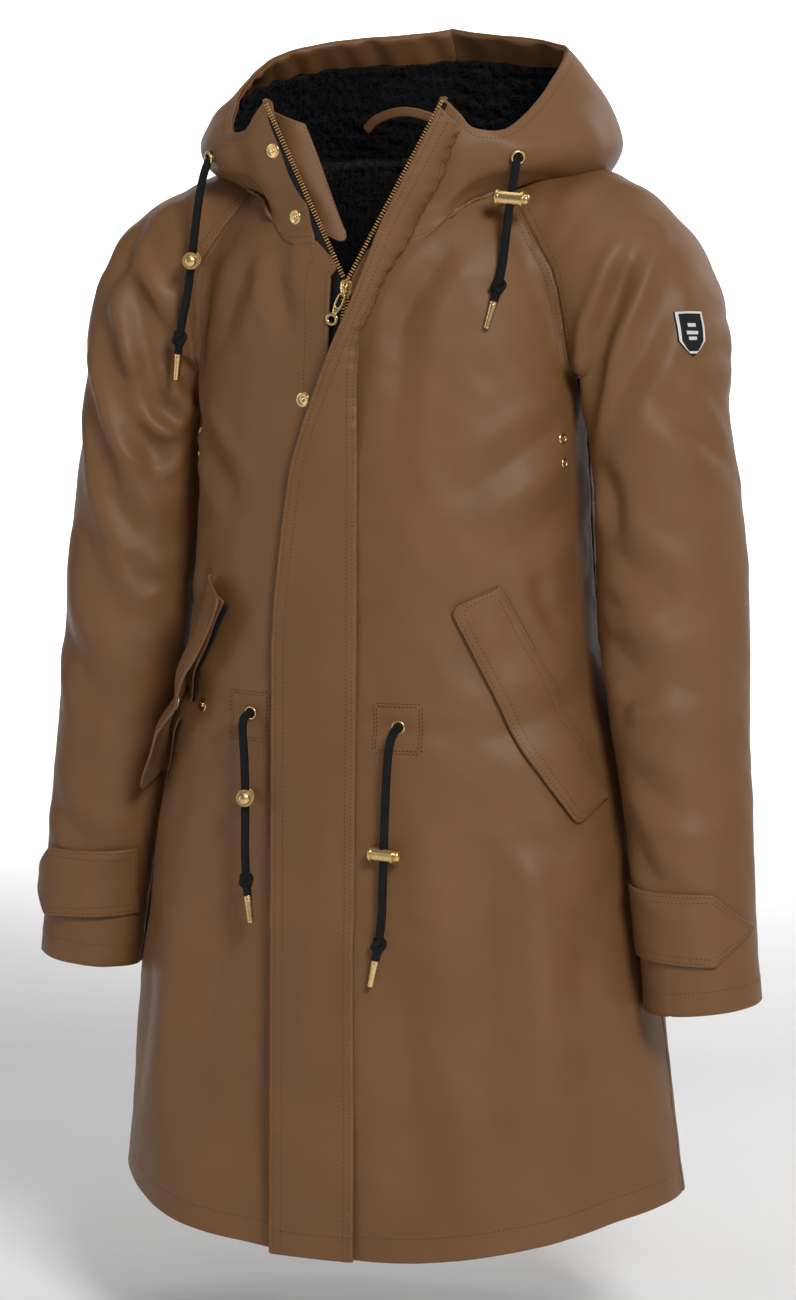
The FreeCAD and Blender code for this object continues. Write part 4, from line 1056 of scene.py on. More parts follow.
def make_fleece(cloth):
    """Fleece that lines the hood and the neck down to the chest, with a curly pile."""
    out = normals(cloth)
    columns = cloth.shape[1]
    rows = [inset(cloth - out * FLEECE_DEPTH, "high", d) for d in np.linspace(FACING - 1, FLEECE_REACH, 54)]
    grid = np.array(rows)[::-1]
    turn = np.linspace(0, 1, columns)
    behind = np.sin(math.pi * turn) ** 2
    fill = 24 * np.sin(math.pi * np.linspace(0, 1, len(grid))[:, None]) * behind
    grid = grid - inset(cloth, "high", 60.0, out)[None] * fill[..., None]
    down = []
    for step in range(1, NECK_ROWS + 1):
        z = grid[0, :, 2] - step * NECK_STEP
        pull = 1 + 0.0022 * step
        down.append(np.stack([grid[0, :, 0] * pull, grid[0, :, 1] * pull, z], 1))
    grid = np.concatenate([np.array(down)[::-1], grid])
    under = 1 - smoothstep(np.arange(len(grid)), NECK_ROWS - 1, NECK_ROWS + 12)[:, None]
    low_in_front = (1 - smoothstep(grid[..., 2], -56, -36)) * (grid[..., 1] < 0)
    under = np.maximum(under, low_in_front)
    for _ in range(4):
        inside_by = np.clip(body_level(grid) + 13, 0, 40) * under
        grid = grid - uphill(body_level, grid, (0.5, 0.5, 0)) * inside_by[..., None]
    grid = spread_columns(grid[:, 9:-9], 2)
    inward = -normals(grid)
    pile = curly(grid, inward, PILE_HIGH)
    shape = Shape()
    rows_n, cols_n = pile.shape[:2]
    thick(shape, pile[:, ::-1], 2.5)
    rng = np.random.default_rng(5)
    r = rng.integers(1, rows_n - 1, TUFTS)
    c = rng.integers(1, cols_n - 1, TUFTS)
    base = pile[r, c]
    up = unit(inward[r, c] + rng.normal(size=(TUFTS, 3)) * 0.55)
    side = unit(np.cross(up, rng.normal(size=(TUFTS, 3))))
    tall = rng.uniform(1.8, 4.2, (TUFTS, 1))
    wide = rng.uniform(0.35, 0.75, (TUFTS, 1))
    bend = unit(np.cross(side, up)) * tall * 0.5
    foot = [-side * wide, side * wide, np.cross(up, side) * wide]
    points = np.stack([base + way for way in foot]
                      + [base + up * tall * 0.6 + way * 0.7 + bend * 0.3 for way in foot]
                      + [base + up * tall + bend], 1)
    tufts = Shape()
    tufts.add(points, (np.arange(TUFTS)[:, None, None] * 7 + np.array(TUFT_FACES)).reshape(-1, 3))
    for name, part in (("hood_fleece", shape), ("hood_fleece_pile", tufts)):
        blend_hood(named_piece(part, name, [FLEECE_MAT], ["hood_lining_front", "hood_lining_back"]))


def spread_columns(grid, times):
    """The same surface with more columns."""
    count = grid.shape[1]
    at = np.linspace(0, count - 1, (count - 1) * times + 1)
    low = np.clip(at.astype(int), 0, count - 2)
    t = (at - low)[None, :, None]
    return grid[:, low] * (1 - t) + grid[:, low + 1] * t


# ---- flaps, tabs and badge ---------------------------------------------------------------------
def front_surface(x, z):
    """y of the smooth front of the body."""
    half, front, _, centre = np.moveaxis(through(BODY[:, 0], BODY[:, 1:], np.asarray(z, float)), -1, 0)
    share = np.clip(np.abs(x) / half, 0, 1)
    return centre - front * (1 - share ** ROUNDNESS) ** (1 / ROUNDNESS)


def make_storm_flap():
    """One flap from the hem to the collar, sewn left of the zip and peeled back above the chest."""
    rows = []
    for (free_x, z), (seam_x, _) in zip(FREE_EDGE, FLAP_SEAM):
        rows.append((free_x, front_surface(free_x, z) - FLAP_GAP - FREE_RISE, z,
                     seam_x, front_surface(seam_x, z) - FLAP_GAP, z))
    rows += [(*free, *seam) for seam, free in PEELED]
    rows = np.array(rows, float)
    s = lengths((rows[:, :3] + rows[:, 3:]) / 2)
    v = fractions(260, s[-1]) * s[-1]
    edges = through(s, rows, v, monotone=False)
    u = fractions(22, 66)
    grid = edges[:, None, :3] * (1 - u[:, None]) + edges[:, None, 3:] * u[:, None]
    crown = np.sin(math.pi * u)[None, :] * (1.6 + 2.5 * smoothstep(edges[:, 2], -230, -120))[:, None]
    grid = grid + normals(grid) * crown[..., None]
    height = fold_height(grid)
    height = (height + np.sqrt(height ** 2 + 3.0)) / 2 - 0.5
    z = grid[..., 2]
    ripple = np.sin(z * 0.62 + 2 * np.sin(z * 0.09)) + np.sin(grid @ RIPPLES[5] * 1.1 + 2)
    seam_side = edge_distance(grid, "end")
    free_side = edge_distance(grid, "start")
    gathered = 0.35 + 0.9 * smoothstep(z, -300, -180)
    height += gathered * ripple * np.exp(-(seam_side / 13) ** 2) - 1.2 * np.exp(-(seam_side / 2.2) ** 2)
    height += 0.25 * ripple * np.exp(-(free_side / 9) ** 2)
    cloth = grid + normals(grid) * height[..., None]
    shape = Shape()
    thick(shape, cloth, STORM_THICK)
    seam_stitches(shape, cloth, "start", (3.0, 10.0))
    seam_stitches(shape, cloth, "end", (3.0, 8.0))
    seam_stitches(shape, cloth, "low", (HEM_ROW,))
    out = normals(cloth)
    piping = cloth[:, 0] + out[:, 0] * 0.1 - unit(cloth[:, 1] - cloth[:, 0]) * 0.2 - out[:, 0] * 1.1
    tube(shape, piping[::2], PIPING_R, count=10)
    made = named_piece(shape, "storm_flap_cloth", [FABRIC_MAT, THREAD_MAT],
                       ["storm_flap", "storm_flap_top"])
    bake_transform(made)
    caps = Shape()
    for x, z in LOW_SNAPS:
        point, up = nearest_normal(cloth, (x, front_surface(x, z) - 6, z))
        lathe(caps, SOCKET, point - up * 4.4, up)
    gold_piece("storm_flap_socket_caps", "storm_flap", "storm_flap_sockets", shape=caps, material=STEEL_MAT)


# directions of the left pocket: down its sewn edge, out of the cloth, and across the flap
ALONG = unit(POCKET_BOTTOM - POCKET_TOP)
OUT = unit(POCKET_OUT - ALONG * POCKET_OUT.dot(ALONG))
ACROSS = -np.cross(OUT, ALONG) * (1 if np.cross(OUT, ALONG)[2] > 0 else -1)


def on_body(points, out):
    """Points moved along out onto the smooth body."""
    far = np.full(points.shape[:-1], 60.0)
    low, _ = narrow(body_level, points, out, -far, far, 22)
    return points + out * low[..., None]


def rounded_outline(corners, radius, count):
    """Points evenly along straight runs whose corners are rounded."""
    corners = [np.array(c, float) for c in corners]
    line = [corners[0]]
    for before, corner, after in zip(corners, corners[1:], corners[2:]):
        a = corner + unit(before - corner) * radius
        b = corner + unit(after - corner) * radius
        for t in np.linspace(0, 1, 7):
            line.append(a * (1 - t) ** 2 + corner * 2 * t * (1 - t) + b * t * t)
    line.append(corners[-1])
    return evenly(np.array(line), count)


def closed_stitches(shape, grid, distance, sides=("low", "high", "start", "end")):
    """Stitches along each side of a grid, each run ending where it meets the next."""
    for side in sides:
        line = inset(grid, side, distance)
        out = inset(grid, side, distance, normals(grid))
        s = lengths(line)
        keep = (s > distance * 0.9) & (s < s[-1] - distance * 0.9)
        if keep.sum() > 3:
            stitches(shape, line[keep], out[keep])


def on_cloth(cloth, outline, lift=0.15):
    """Points given as x and z, laid on a cloth grid near the front of the coat, with its normals there."""
    out = normals(cloth)
    points, ups = [], []
    for x, z in outline:
        far = (cloth[..., 0] - x) ** 2 + (cloth[..., 2] - z) ** 2 + np.where(cloth[..., 1] > 20, 1e6, 0)
        i, j = np.unravel_index(np.argmin(far), far.shape)
        near, up = cloth[i, j], out[i, j]
        y = near[1] - (up[0] * (x - near[0]) + up[2] * (z - near[2])) / up[1]
        points.append(np.array((x, y, z)) + up * lift)
        ups.append(up)
    return np.array(points), np.array(ups)


def pocket_snap(side):
    """Where the pocket's snap sits on the smooth front of the body."""
    x, z = POCKET_SNAP
    return np.array((x * side, front_surface(x, z), z))


def make_pocket_flap(name, side, swing):
    """A slanted flap sewn along its upper edge, swung off the coat by some degrees."""
    free = rounded_outline([(0.0, 6.0), *POCKET_EDGE, (POCKET_SEWN, 6.0)], 9.0, 90)
    sewn = np.stack([np.linspace(0.0, POCKET_SEWN, 90), np.full(90, 0.5)], 1)
    v = fractions(16, 46, (0, 0.9, 2.0, 3.6))
    flat = sewn[None] * (1 - v[:, None, None]) + free[None] * v[:, None, None]
    p = POCKET_TOP + flat[..., :1] * ALONG + flat[..., 1:] * ACROSS
    base = on_body(p, OUT)
    out = uphill(body_level, base)
    rise = 3.4 + 1.4 * np.sin(math.pi * v)[:, None]
    ripple = np.sin(base @ RIPPLES[6] * 1.2) + np.sin(base @ RIPPLES[7])
    grid = base + out * (rise + fold_height(base) + 0.22 * ripple)[..., None]
    turn = np.radians(swing) * np.clip(v / 0.25, 0, 1)[:, None, None]
    arm = grid - grid[:1]
    axis = ALONG * (1 if np.cross(ALONG, ACROSS).dot(OUT) > 0 else -1)
    grid = (grid[:1] + arm * np.cos(turn) + np.cross(axis, arm) * np.sin(turn)
            + axis * (arm @ axis)[..., None] * (1 - np.cos(turn)))
    grid = facing(grid[::-1], OUT)
    if side < 0:
        grid = mirror_grid(grid)
    shape = Shape()
    thick(shape, grid, FLAP_THICK)
    for distance in (2.6, 8.4):
        closed_stitches(shape, grid, distance)
    named_piece(shape, name + "_cloth", [FABRIC_MAT, THREAD_MAT], [name], name)
    socket_cap(name.replace("flap", "flap_socket"), name, grid, pocket_snap(side))


# parts of the slit: how far its edges are across from the flap's seam, height over the coat, thickness
MOUTH = [("welt", 9.0, 24.0, 1.9, 2.2, FABRIC_MAT), ("lining", 21.0, 30.0, 0.9, 1.0, LINING_MAT)]


def make_pocket_mouth(name, side):
    """The slit under a flap: a narrow welt with dark lining behind it."""
    for kind, low, high, rise, deep, material in MOUTH:
        u, v = np.meshgrid(np.linspace(12.0, 184.0, 60), np.linspace(high, low, 9))
        base = on_body(POCKET_TOP + u[..., None] * ALONG + v[..., None] * ACROSS, OUT)
        grid = facing(base + OUT * (rise + fold_height(base))[..., None], OUT)
        if side < 0:
            grid = mirror_grid(grid)
        shape = Shape()
        thick(shape, grid, deep)
        if kind == "welt":
            closed_stitches(shape, grid, 2.4)
        named_piece(shape, name + "_" + kind, [material, THREAD_MAT], [name],
                    "root")


FOREARM = ARM[5:][::-1]


def arm_surface(x, z):
    """Point and outward normal of the front of the left forearm."""
    row = through(FOREARM[:, 2], FOREARM[:, [0, 1, 3, 4]], np.asarray(z, float))
    cx, cy, wide, deep = np.moveaxis(row, -1, 0)
    across = np.clip((x - cx) / wide, -0.985, 0.985)
    y = cy - deep * np.sqrt(1 - across ** 2)
    out = unit(np.stack([across / wide, (y - cy) / deep ** 2, 0 * y], -1))
    return np.stack([x + 0 * y, y, z + 0 * y], -1), out


def make_cuff_tab(name, side, body, sleeve):
    """A pointed tab sewn at the inside of the cuff, with its snap."""
    rows = np.array(TAB_SEAM, float)
    v = fractions(20, TAB_HIGH - TAB_LOW, (0, 0.9, 2.0, 3.6))
    z = TAB_LOW + v * (TAB_HIGH - TAB_LOW)
    left = np.interp(z, rows[:, 0], rows[:, 1])
    tip = TAB_TIP - np.sqrt((z - TAB_MIDDLE) ** 2 + 9.0) * 0.86
    u = fractions(44, 92, (0, 0.9, 2.0, 3.6))
    x = left[:, None] * (1 - u) + tip[:, None] * u
    droop = -6.0 * u[None, :] * (1 - v[:, None]) * 0.2
    zz = np.repeat(z[:, None], len(u), 1) + droop
    centre = through(FOREARM[:, 2], FOREARM[:, [0, 3]], zz)
    reach_x = np.minimum(x, centre[..., 0] + centre[..., 1] * 0.97)
    base, out = arm_surface(reach_x, zz)
    over = np.clip(x - reach_x, 0, 40)
    base[..., 1] += over * 0.55
    base[..., 0] += over * 0.35
    grid = base + out * (3.6 + 1.2 * u[None, :] ** 2 + fold_height(base))[..., None]
    if side < 0:
        grid = mirror_grid(grid)
    shape = Shape()
    thick(shape, grid, FLAP_THICK)
    for distance in (2.6, 8.0):
        closed_stitches(shape, grid, distance)
    named_piece(shape, name + "_cloth", [FABRIC_MAT, THREAD_MAT], [name], body)
    snap = np.array(TAB_SNAP) * (side, 1, 1)
    socket_cap(name.replace("tab", "tab_socket"), body, grid, snap)
    under = Shape()
    point, up = nearest_normal(sleeve, snap)
    lathe(under, [(r, h * 0.8) for r, h in STUD], point - up * 0.4, up)
    gold_piece(name.replace("tab", "stud") + "_cap", name.replace("cuff_tab", "sleeve"),
               name.replace("tab", "stud"), shape=under)


def make_badge():
    """A woven shield with a plain border and an emblem of three bars."""
    at = np.array((263.0, -39.0, -164.0))
    out = unit(np.array((0.75, -0.62, 0.22)))
    right = unit(np.cross((0, 0, 1), out))
    up = np.cross(out, right)
    v = np.linspace(0, 1, 40)
    u = np.linspace(-1, 1, 34)
    half = np.where(v > 0.34, 12.5, 12.5 * np.clip(v / 0.34, 0.02, 1) ** 0.75)
    a = u[None, :] * half[:, None]
    b = -18 + 35 * v[:, None] + 0 * a
    p = at + a[..., None] * right + b[..., None] * up
    p = onto(arm_level, p, 6)
    p = p + normals(p) * (fold_height(p) + 1.2)[..., None]
    across, height = np.abs(u)[None, :], v[:, None]
    rim = ((across > 0.80) | (height < 0.10) | (height > 0.925)) & (across < 0.94)
    rim &= (height > 0.035) & (height < 0.975)
    bars = np.zeros_like(rim)
    for low, high, wide in ((0.34, 0.42, 0.30), (0.48, 0.56, 0.40), (0.62, 0.70, 0.30)):
        bars |= (height > low) & (height < high) & (across < wide)
    raised = p + normals(p) * (0.35 * (rim | bars))[..., None]
    shape = Shape()
    thick(shape, raised, 1.1)
    faces = shape.faces[0]
    white = (rim | bars)[:-1, :-1].ravel()
    shape.faces[0] = faces[~white]
    shape.join(faces[white], 1)
    named_piece(shape, "sleeve_shield_badge", [BADGE_MAT, WHITE_MAT], ["sleeve_badge"],
                "root")


# ---- fasteners -----------------------------------------------------------------------------------
# profiles turned about an axis: radius and height over the cloth
STUD = [(0.0, 2.3), (1.5, 2.3), (2.0, 1.7), (2.0, 1.0), (3.2, 0.9), (4.6, 1.25), (5.9, 0.9),
        (6.3, 0.35), (6.1, 0.05)]
SOCKET = [(0.1, 2.1), (6.0, 2.1), (6.3, 1.6), (6.2, 0.7), (5.0, 0.3), (3.6, 0.5), (2.9, 1.2), (2.2, 1.4)]
EYELET = [(3.75, -2.5), (3.8, 0.2), (4.15, 1.3), (4.9, 1.6), (5.6, 1.15), (5.9, 0.45), (5.7, 0.1)]
VENT = [(2.2, -2.2), (2.2, 0.6), (2.5, 1.1), (3.2, 1.3), (4.1, 0.9), (4.4, 0.4)]


def gold_piece(name, body, *replaced, shape, material=GOLD_MAT):
    """A piece of metal that rides with a body, in place of some CAD nodes or none."""
    made = shape.build(name, [material])
    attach(made, body)
    if replaced:
        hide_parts(*replaced)


def nearest_normal(cloth, point):
    """The point of a cloth grid nearest to a place, and the outward normal there."""
    d = np.linalg.norm(cloth - np.asarray(point, float), axis=-1)
    i, j = np.unravel_index(np.argmin(d), d.shape)
    return cloth[i, j], normals(cloth)[i, j]


def socket_cap(name, body, grid, place):
    """The steel socket inside a flap or a tab, nearest to a place."""
    shape = Shape()
    point, up = nearest_normal(grid, place)
    lathe(shape, SOCKET, point - up * 4.6, up)
    gold_piece(name + "_cap", body, name, shape=shape, material=STEEL_MAT)


def make_snaps(cloths):
    """The studs down the front and one under each pocket flap."""
    shape = Shape()
    for x, z in SNAPS + LOW_SNAPS:
        cloth = cloths["hood"] if z > -80 else cloths["right_front_panel"]
        point, out = nearest_normal(cloth, (x, front_surface(x, z) if z < -60 else -95, z))
        lathe(shape, STUD, point - out * 0.3, out)
    gold_piece("front_snap_stud_set", "root", "front_snap_studs", shape=shape)
    shape = Shape()
    for side in (1, -1):
        cloth = cloths["left_front_panel" if side > 0 else "right_front_panel"]
        point, out = nearest_normal(cloth, pocket_snap(side))
        lathe(shape, STUD, point - out * 0.6, out)
    gold_piece("pocket_snap_stud_pair", "root", "pocket_snap_studs", shape=shape)


def make_eyelets(cloths):
    """An eyelet where each cord comes out, and two small ones under each arm."""
    shape = Shape()
    for name, route in CORDS.items():
        first, second = np.array(route[0]), np.array(route[1])
        out = unit(second - first)
        panel_name = "left_front_panel" if "left" in name else "right_front_panel"
        cloth = cloths["hood" if "hood" in name else panel_name]
        point, normal = nearest_normal(cloth, first + out * 2.6)
        along = out * max((point - first) @ normal / max(out @ normal, 0.3), 0.0)
        lathe(shape, EYELET, first + along, unit(out + normal))
    gold_piece("drawcord_eyelet_set", "root", "drawcord_eyelets", shape=shape)
    shape = Shape()
    for side, cloth in ((1, cloths["left_front_panel"]), (-1, cloths["right_front_panel"])):
        for x, y, z in VENTS:
            point, out = nearest_normal(cloth, (x * side, y, z))
            lathe(shape, VENT, point - out * 0.1, out, count=20)
    gold_piece("underarm_eyelet_set", "root", "underarm_eyelets", shape=shape)


# ---- zip -----------------------------------------------------------------------------------------
# directions of the closed zip: down it, out of the coat, and to the wearer's left
ZIP_ALONG = unit(ZIP_END - ZIP_TOP)
ZIP_FRONT = unit(FORWARD - ZIP_ALONG * ZIP_ALONG.dot(FORWARD))
ZIP_LEFT = np.cross(ZIP_ALONG, ZIP_FRONT) * (1 if np.cross(ZIP_ALONG, ZIP_FRONT)[0] > 0 else -1)
TOOTH_PITCH = 2.5


def block(shape, centre, x, y, z, sizes, bevel):
    """A box with bevelled edges."""
    half = np.array(sizes) / 2
    rings = []
    for level, inset_by in ((-half[2], bevel), (-half[2] + bevel, 0), (half[2] - bevel, 0), (half[2], bevel)):
        a, b = half[0] - inset_by, half[1] - inset_by
        c = min(bevel, a * 0.5, b * 0.5)
        corner = [(a, -b + c), (a, b - c), (a - c, b), (-a + c, b),
                  (-a, b - c), (-a, -b + c), (-a + c, -b), (a - c, -b)]
        rings.append([centre + x * p + y * q + z * level for p, q in corner])
    sides, i, _ = ring_faces(4, 8)
    start = shape.count
    shape.add(rings, sides)
    shape.join(start + np.array([i[0, ::-1], i[-1]]))


def teeth(shape, start, end, across, front, phase):
    """A run of teeth, each a block with a smaller head; phase is where the first one sits."""
    along = unit(end - start)
    length = np.linalg.norm(end - start)
    across = unit(across - along * across.dot(along))
    front = unit(np.cross(across, along))
    for s in np.arange(phase, length, TOOTH_PITCH):
        centre = start + along * s + across * 1.5
        block(shape, centre, across, along, front, (3.4, 1.2, 2.6), 0.3)
        block(shape, centre - across * 1.6, across, along, front, (1.0, 0.9, 2.0), 0.25)


def zip_lines(side):
    """The straight and the parted run of one row, as the middle of its teeth."""
    depth = np.array((0, CHAIN_DEPTH - 3.2, 0))
    left = ZIP_LEFT * side
    low = [ZIP_TOP + depth + left * 0.3, ZIP_END + depth + left * 0.3 - ZIP_ALONG * 14]
    peak = ZIP_PEAK * (side, 1, 1) + depth
    high = [ZIP_TOP + depth + left * 0.3, peak]
    return low, high


def make_zip():
    """Both rows of teeth with the tapes that hold them, closed below the slider and parted above."""
    for name, side in (("left", 1), ("right", -1)):
        low, high = zip_lines(side)
        shape = Shape()
        teeth(shape, low[0], low[1], ZIP_LEFT * side, ZIP_FRONT, 0.6 if side > 0 else 0.6 + TOOTH_PITCH / 2)
        teeth(shape, high[0], high[1], np.array((1.0, 0, -0.5)) * (side, 1, 1), ZIP_FRONT,
              1.6 if side > 0 else 1.6 + TOOTH_PITCH / 2)
        gold_piece("zip_teeth_" + name, "root", "zip_chain_" + name, shape=shape, material=TEETH_MAT)
        shape = Shape()
        for start, end in (low, high):
            along = unit(end - start)
            away = unit(np.cross(along, FORWARD))
            away = away * math.copysign(1, away[0] * side)
            count = int(np.linalg.norm(end - start) / 4)
            s = np.linspace(0, 1, count)[:, None, None]
            u = np.linspace(1.0, 13.0, 9)[None, :, None]
            deep = np.array((0, 1.0, 0)) * smoothstep(u, 3.5, 13.0) * 4.0
            grid = start + (end - start) * s + away * u + deep + (0, 0.3, 0)
            thick(shape, facing(grid, FORWARD), 0.8)
        named_piece(shape, "zip_tape_cloth_" + name, [TAPE_MAT], ["zip_tape_" + name], "root")


def ring_plate(shape, outer, inner, origin, x, y, thick_by, bevel):
    """A flat plate with a hole and rounded edges, between two outlines of as many points."""
    z = unit(np.cross(x, y))
    half = thick_by / 2
    loops = []
    middle = (outer + inner) / 2
    for line, level, pull in ((inner, -half + bevel, 0), (inner, half - bevel, 0), (inner, half, bevel),
                              (outer, half, bevel), (outer, half - bevel, 0), (outer, -half + bevel, 0),
                              (outer, -half, bevel), (inner, -half, bevel)):
        flat = line + unit(middle - line) * pull
        loops.append(origin + flat[:, :1] * x + flat[:, 1:] * y + z * level)
    rows, count = len(loops), len(outer)
    i = np.arange(rows * count).reshape(rows, count)
    j = np.roll(i, -1, axis=1)
    up, upj = np.roll(i, -1, axis=0), np.roll(j, -1, axis=0)
    shape.add(np.concatenate(loops), np.stack([i, j, upj, up], -1).reshape(-1, 4))


def oval(count, wide, tall, power=2.0, shift=0.0):
    """A superellipse as points; shift moves it along its second axis."""
    a = np.linspace(0, 2 * math.pi, count, endpoint=False)
    c, s = np.cos(a), np.sin(a)
    return np.stack([wide * np.sign(c) * np.abs(c) ** (2 / power),
                     shift + tall * np.sign(s) * np.abs(s) ** (2 / power)], 1)


def make_slider():
    """The slider with its bridge, and the pull that hangs from it with a ring at its end."""
    top = 1.4                           # from where the rows part to the slider's top
    pin = ZIP_TOP + ZIP_ALONG * (top + 6) + ZIP_FRONT * 1.0
    shape = Shape()
    centre = ZIP_TOP + ZIP_ALONG * (top + 6.5)
    for depth, size in ((2.0, 1.5), (6.9, 1.4)):
        outline = oval(40, 5.4, 6.9, 3.4)
        outline[:, 0] *= 1 - 0.22 * smoothstep(outline[:, 1], 0, 7)
        ring_plate(shape, outline, outline * 0.04, centre - ZIP_FRONT * depth,
                   ZIP_LEFT, ZIP_ALONG, size, 0.35)
    for side in (-1, 1):
        block(shape, centre + ZIP_LEFT * side * 4.3 - ZIP_FRONT * 3.2, ZIP_LEFT, ZIP_ALONG, ZIP_FRONT,
              (1.1, 12.0, 1.8), 0.3)
    block(shape, centre - ZIP_ALONG * 5 - ZIP_FRONT * 4.5, ZIP_LEFT, ZIP_ALONG, ZIP_FRONT,
          (0.9, 3.4, 3.6), 0.2)
    a = np.linspace(0, math.pi, 26)
    bail = pin[None] + (np.cos(a)[:, None] * 4.4) * ZIP_ALONG + (np.sin(a)[:, None] * 2.6 - 2.2) * ZIP_FRONT
    for side in (-1.5, 1.5):
        tube(shape, bail + ZIP_LEFT * side, 0.75, count=10)
    tube(shape, np.array([pin - ZIP_LEFT * 2.4, pin, pin + ZIP_LEFT * 2.4]), 0.7, count=12)
    gold_piece("zip_slider_body", "zip_slider", "zip_slider", shape=shape)

    lean = math.radians(24)
    hang = ZIP_ALONG * math.cos(lean) - ZIP_LEFT * math.sin(lean)
    wide = ZIP_LEFT * math.cos(lean) + ZIP_ALONG * math.sin(lean)
    start = pin + ZIP_ALONG * 2.0
    shape = Shape()
    eye = oval(28, 2.0, 2.0)
    ring_plate(shape, eye, eye * 0.45, start - ZIP_ALONG * 2.0 + ZIP_FRONT * 1.0,
               ZIP_LEFT, ZIP_ALONG, 1.3, 0.3)
    block(shape, start + ZIP_ALONG * 1.6 + ZIP_FRONT * 0.6, ZIP_LEFT, ZIP_ALONG, ZIP_FRONT,
          (2.2, 3.6, 1.3), 0.3)
    outer = oval(44, 4.1, 9.6, 4.0, 12.6)
    outer[:, 0] *= 0.92 - 0.34 * smoothstep(outer[:, 1], 12, 21)
    inner = oval(44, 2.0, 5.2, 4.0, 9.8)
    ring_plate(shape, outer, inner, start, wide, hang, 1.5, 0.4)
    loop = oval(44, 5.4, 5.2, 2.0, 25.6)
    ring_plate(shape, loop, oval(44, 2.9, 2.7, 2.0, 25.8), start, wide, hang, 1.6, 0.45)
    gold_piece("zip_pull_tab", "zip_pull", "zip_pull", shape=shape)


def make_guard():
    """The soft strip behind the right chain, whose lower corner is rounded."""
    low_out, low_in, high_out, high_in = [np.array(c, float) for c in GUARD]
    u = fractions(14, GUARD_WIDE, (0, 1.0, 2.2))
    v = fractions(40, GUARD_LONG + 2, (0, 1.0, 2.2, 4.0))
    across = np.clip((u * GUARD_WIDE - (GUARD_WIDE - GUARD_ROUND)) / GUARD_ROUND, 0, 1)
    start = (1 - np.sqrt(1 - across ** 2)) * GUARD_ROUND / GUARD_LONG
    share = start[None, :] + v[:, None] * (1 - start[None, :])
    out_line = low_out + share[..., None] * (high_out - low_out)
    in_line = low_in + share[..., None] * (high_in - low_in)
    grid = out_line * (1 - u[None, :, None]) + in_line * u[None, :, None]
    grid[..., 1] += 5.0 * u ** 2 - 1.6 * np.sin(math.pi * u) + 0.8 * np.sin(share * 9 + u * 2)
    grid = facing(grid, FORWARD)
    shape = Shape()
    thick(shape, grid, 1.8)
    closed_stitches(shape, grid, 2.8)
    named_piece(shape, "zip_guard_cloth", [FABRIC_MAT, THREAD_MAT], ["zip_guard"], "root")


def make_loop_and_label():
    """The hanging loop and the blank label inside the neck."""
    path = spline(np.array(LOOP, float), 60)
    up = unit(np.cross(np.gradient(path, axis=0), FORWARD))
    width = np.linspace(-3.5, 3.5, 9)
    crown = 0.5 * np.cos(width / 3.5)
    grid = path[:, None] + up[:, None] * width[None, :, None] + FORWARD * crown[None, :, None]
    grid = facing(grid, FORWARD)
    shape = Shape()
    thick(shape, grid, 2.0)
    seam_stitches(shape, grid, "start", (1.1,))
    seam_stitches(shape, grid, "end", (1.1,))
    named_piece(shape, "hanger_loop_strip", [FABRIC_MAT, THREAD_MAT], ["hanger_loop"],
                "root")
    x, z = np.meshgrid(np.linspace(-28, 28, 24), np.linspace(-44, -24, 12))
    grid = np.stack([x, 75.0 + 0.5 * np.sin(x / 9) + 0.004 * x ** 2, z], -1)
    shape = Shape()
    thick(shape, grid, 0.8)
    closed_stitches(shape, grid, 1.8)
    named_piece(shape, "neck_label_blank", [LINING_MAT, THREAD_MAT], ["neck_label"], "root")


PATCHES = [("left_front_panel", 51.0, -479.0), ("right_front_panel", -84.0, -476.6)]    # middle x, z
PATCH_ROWS = (20.0, 17.6)               # half widths of the stitched squares


def make_patches(cloths):
    """A stitched square on the cloth round each waist eyelet."""
    shape = Shape()
    for name, x, z in PATCHES:
        for half in PATCH_ROWS:
            corners = [(x - half, z - half), (x + half, z - half), (x + half, z + half), (x - half, z + half)]
            for a, b in zip(corners, corners[1:] + corners[:1]):
                line = [(a[0] + (b[0] - a[0]) * t, a[1] + (b[1] - a[1]) * t) for t in np.linspace(0, 1, 14)]
                points, ups = on_cloth(cloths[name], line)
                stitches(shape, points, ups, kind=0)
    made = shape.build("waist_patch_stitches", [THREAD_MAT])
    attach(made, "root")


# ---- drawcords --------------------------------------------------------------------------------------
BRAID_PITCH = 7.2
CORD_STEP = 0.55                        # between the rings of a cord's mesh


def braid(angle, distance):
    """Relief of a round braid: two families of strands that pass over and under each other."""
    turn = 6 * angle
    climb = 6 * math.pi * distance / BRAID_PITCH
    a = np.abs(np.sin((turn + climb) / 2))
    b = np.abs(np.sin((turn - climb) / 2))
    return 0.34 * np.maximum(a, b) ** 0.7 - 0.30


def cord_curve(name):
    """The route's own smooth line, as a NURBS spline through its control points."""
    curve = bpy.data.curves.new(name + "_line", "CURVE")
    curve.dimensions = "3D"
    curve.resolution_u = 24
    line = curve.splines.new("NURBS")
    line.points.add(len(CORDS[name]) - 1)
    for point, place in zip(line.points, CORDS[name]):
        point.co = (place[0] * MM, place[1] * MM, place[2] * MM, 1)
    line.order_u = 3
    line.use_endpoint_u = True
    holder = bpy.data.objects.new(name + "_line", curve)
    bpy.context.scene.collection.objects.link(holder)
    bpy.context.view_layer.update()
    mesh = bpy.data.meshes.new_from_object(holder.evaluated_get(bpy.context.evaluated_depsgraph_get()))
    points = np.array([v.co for v in mesh.vertices]) / MM
    bpy.data.meshes.remove(mesh)
    bpy.data.objects.remove(holder)
    return points


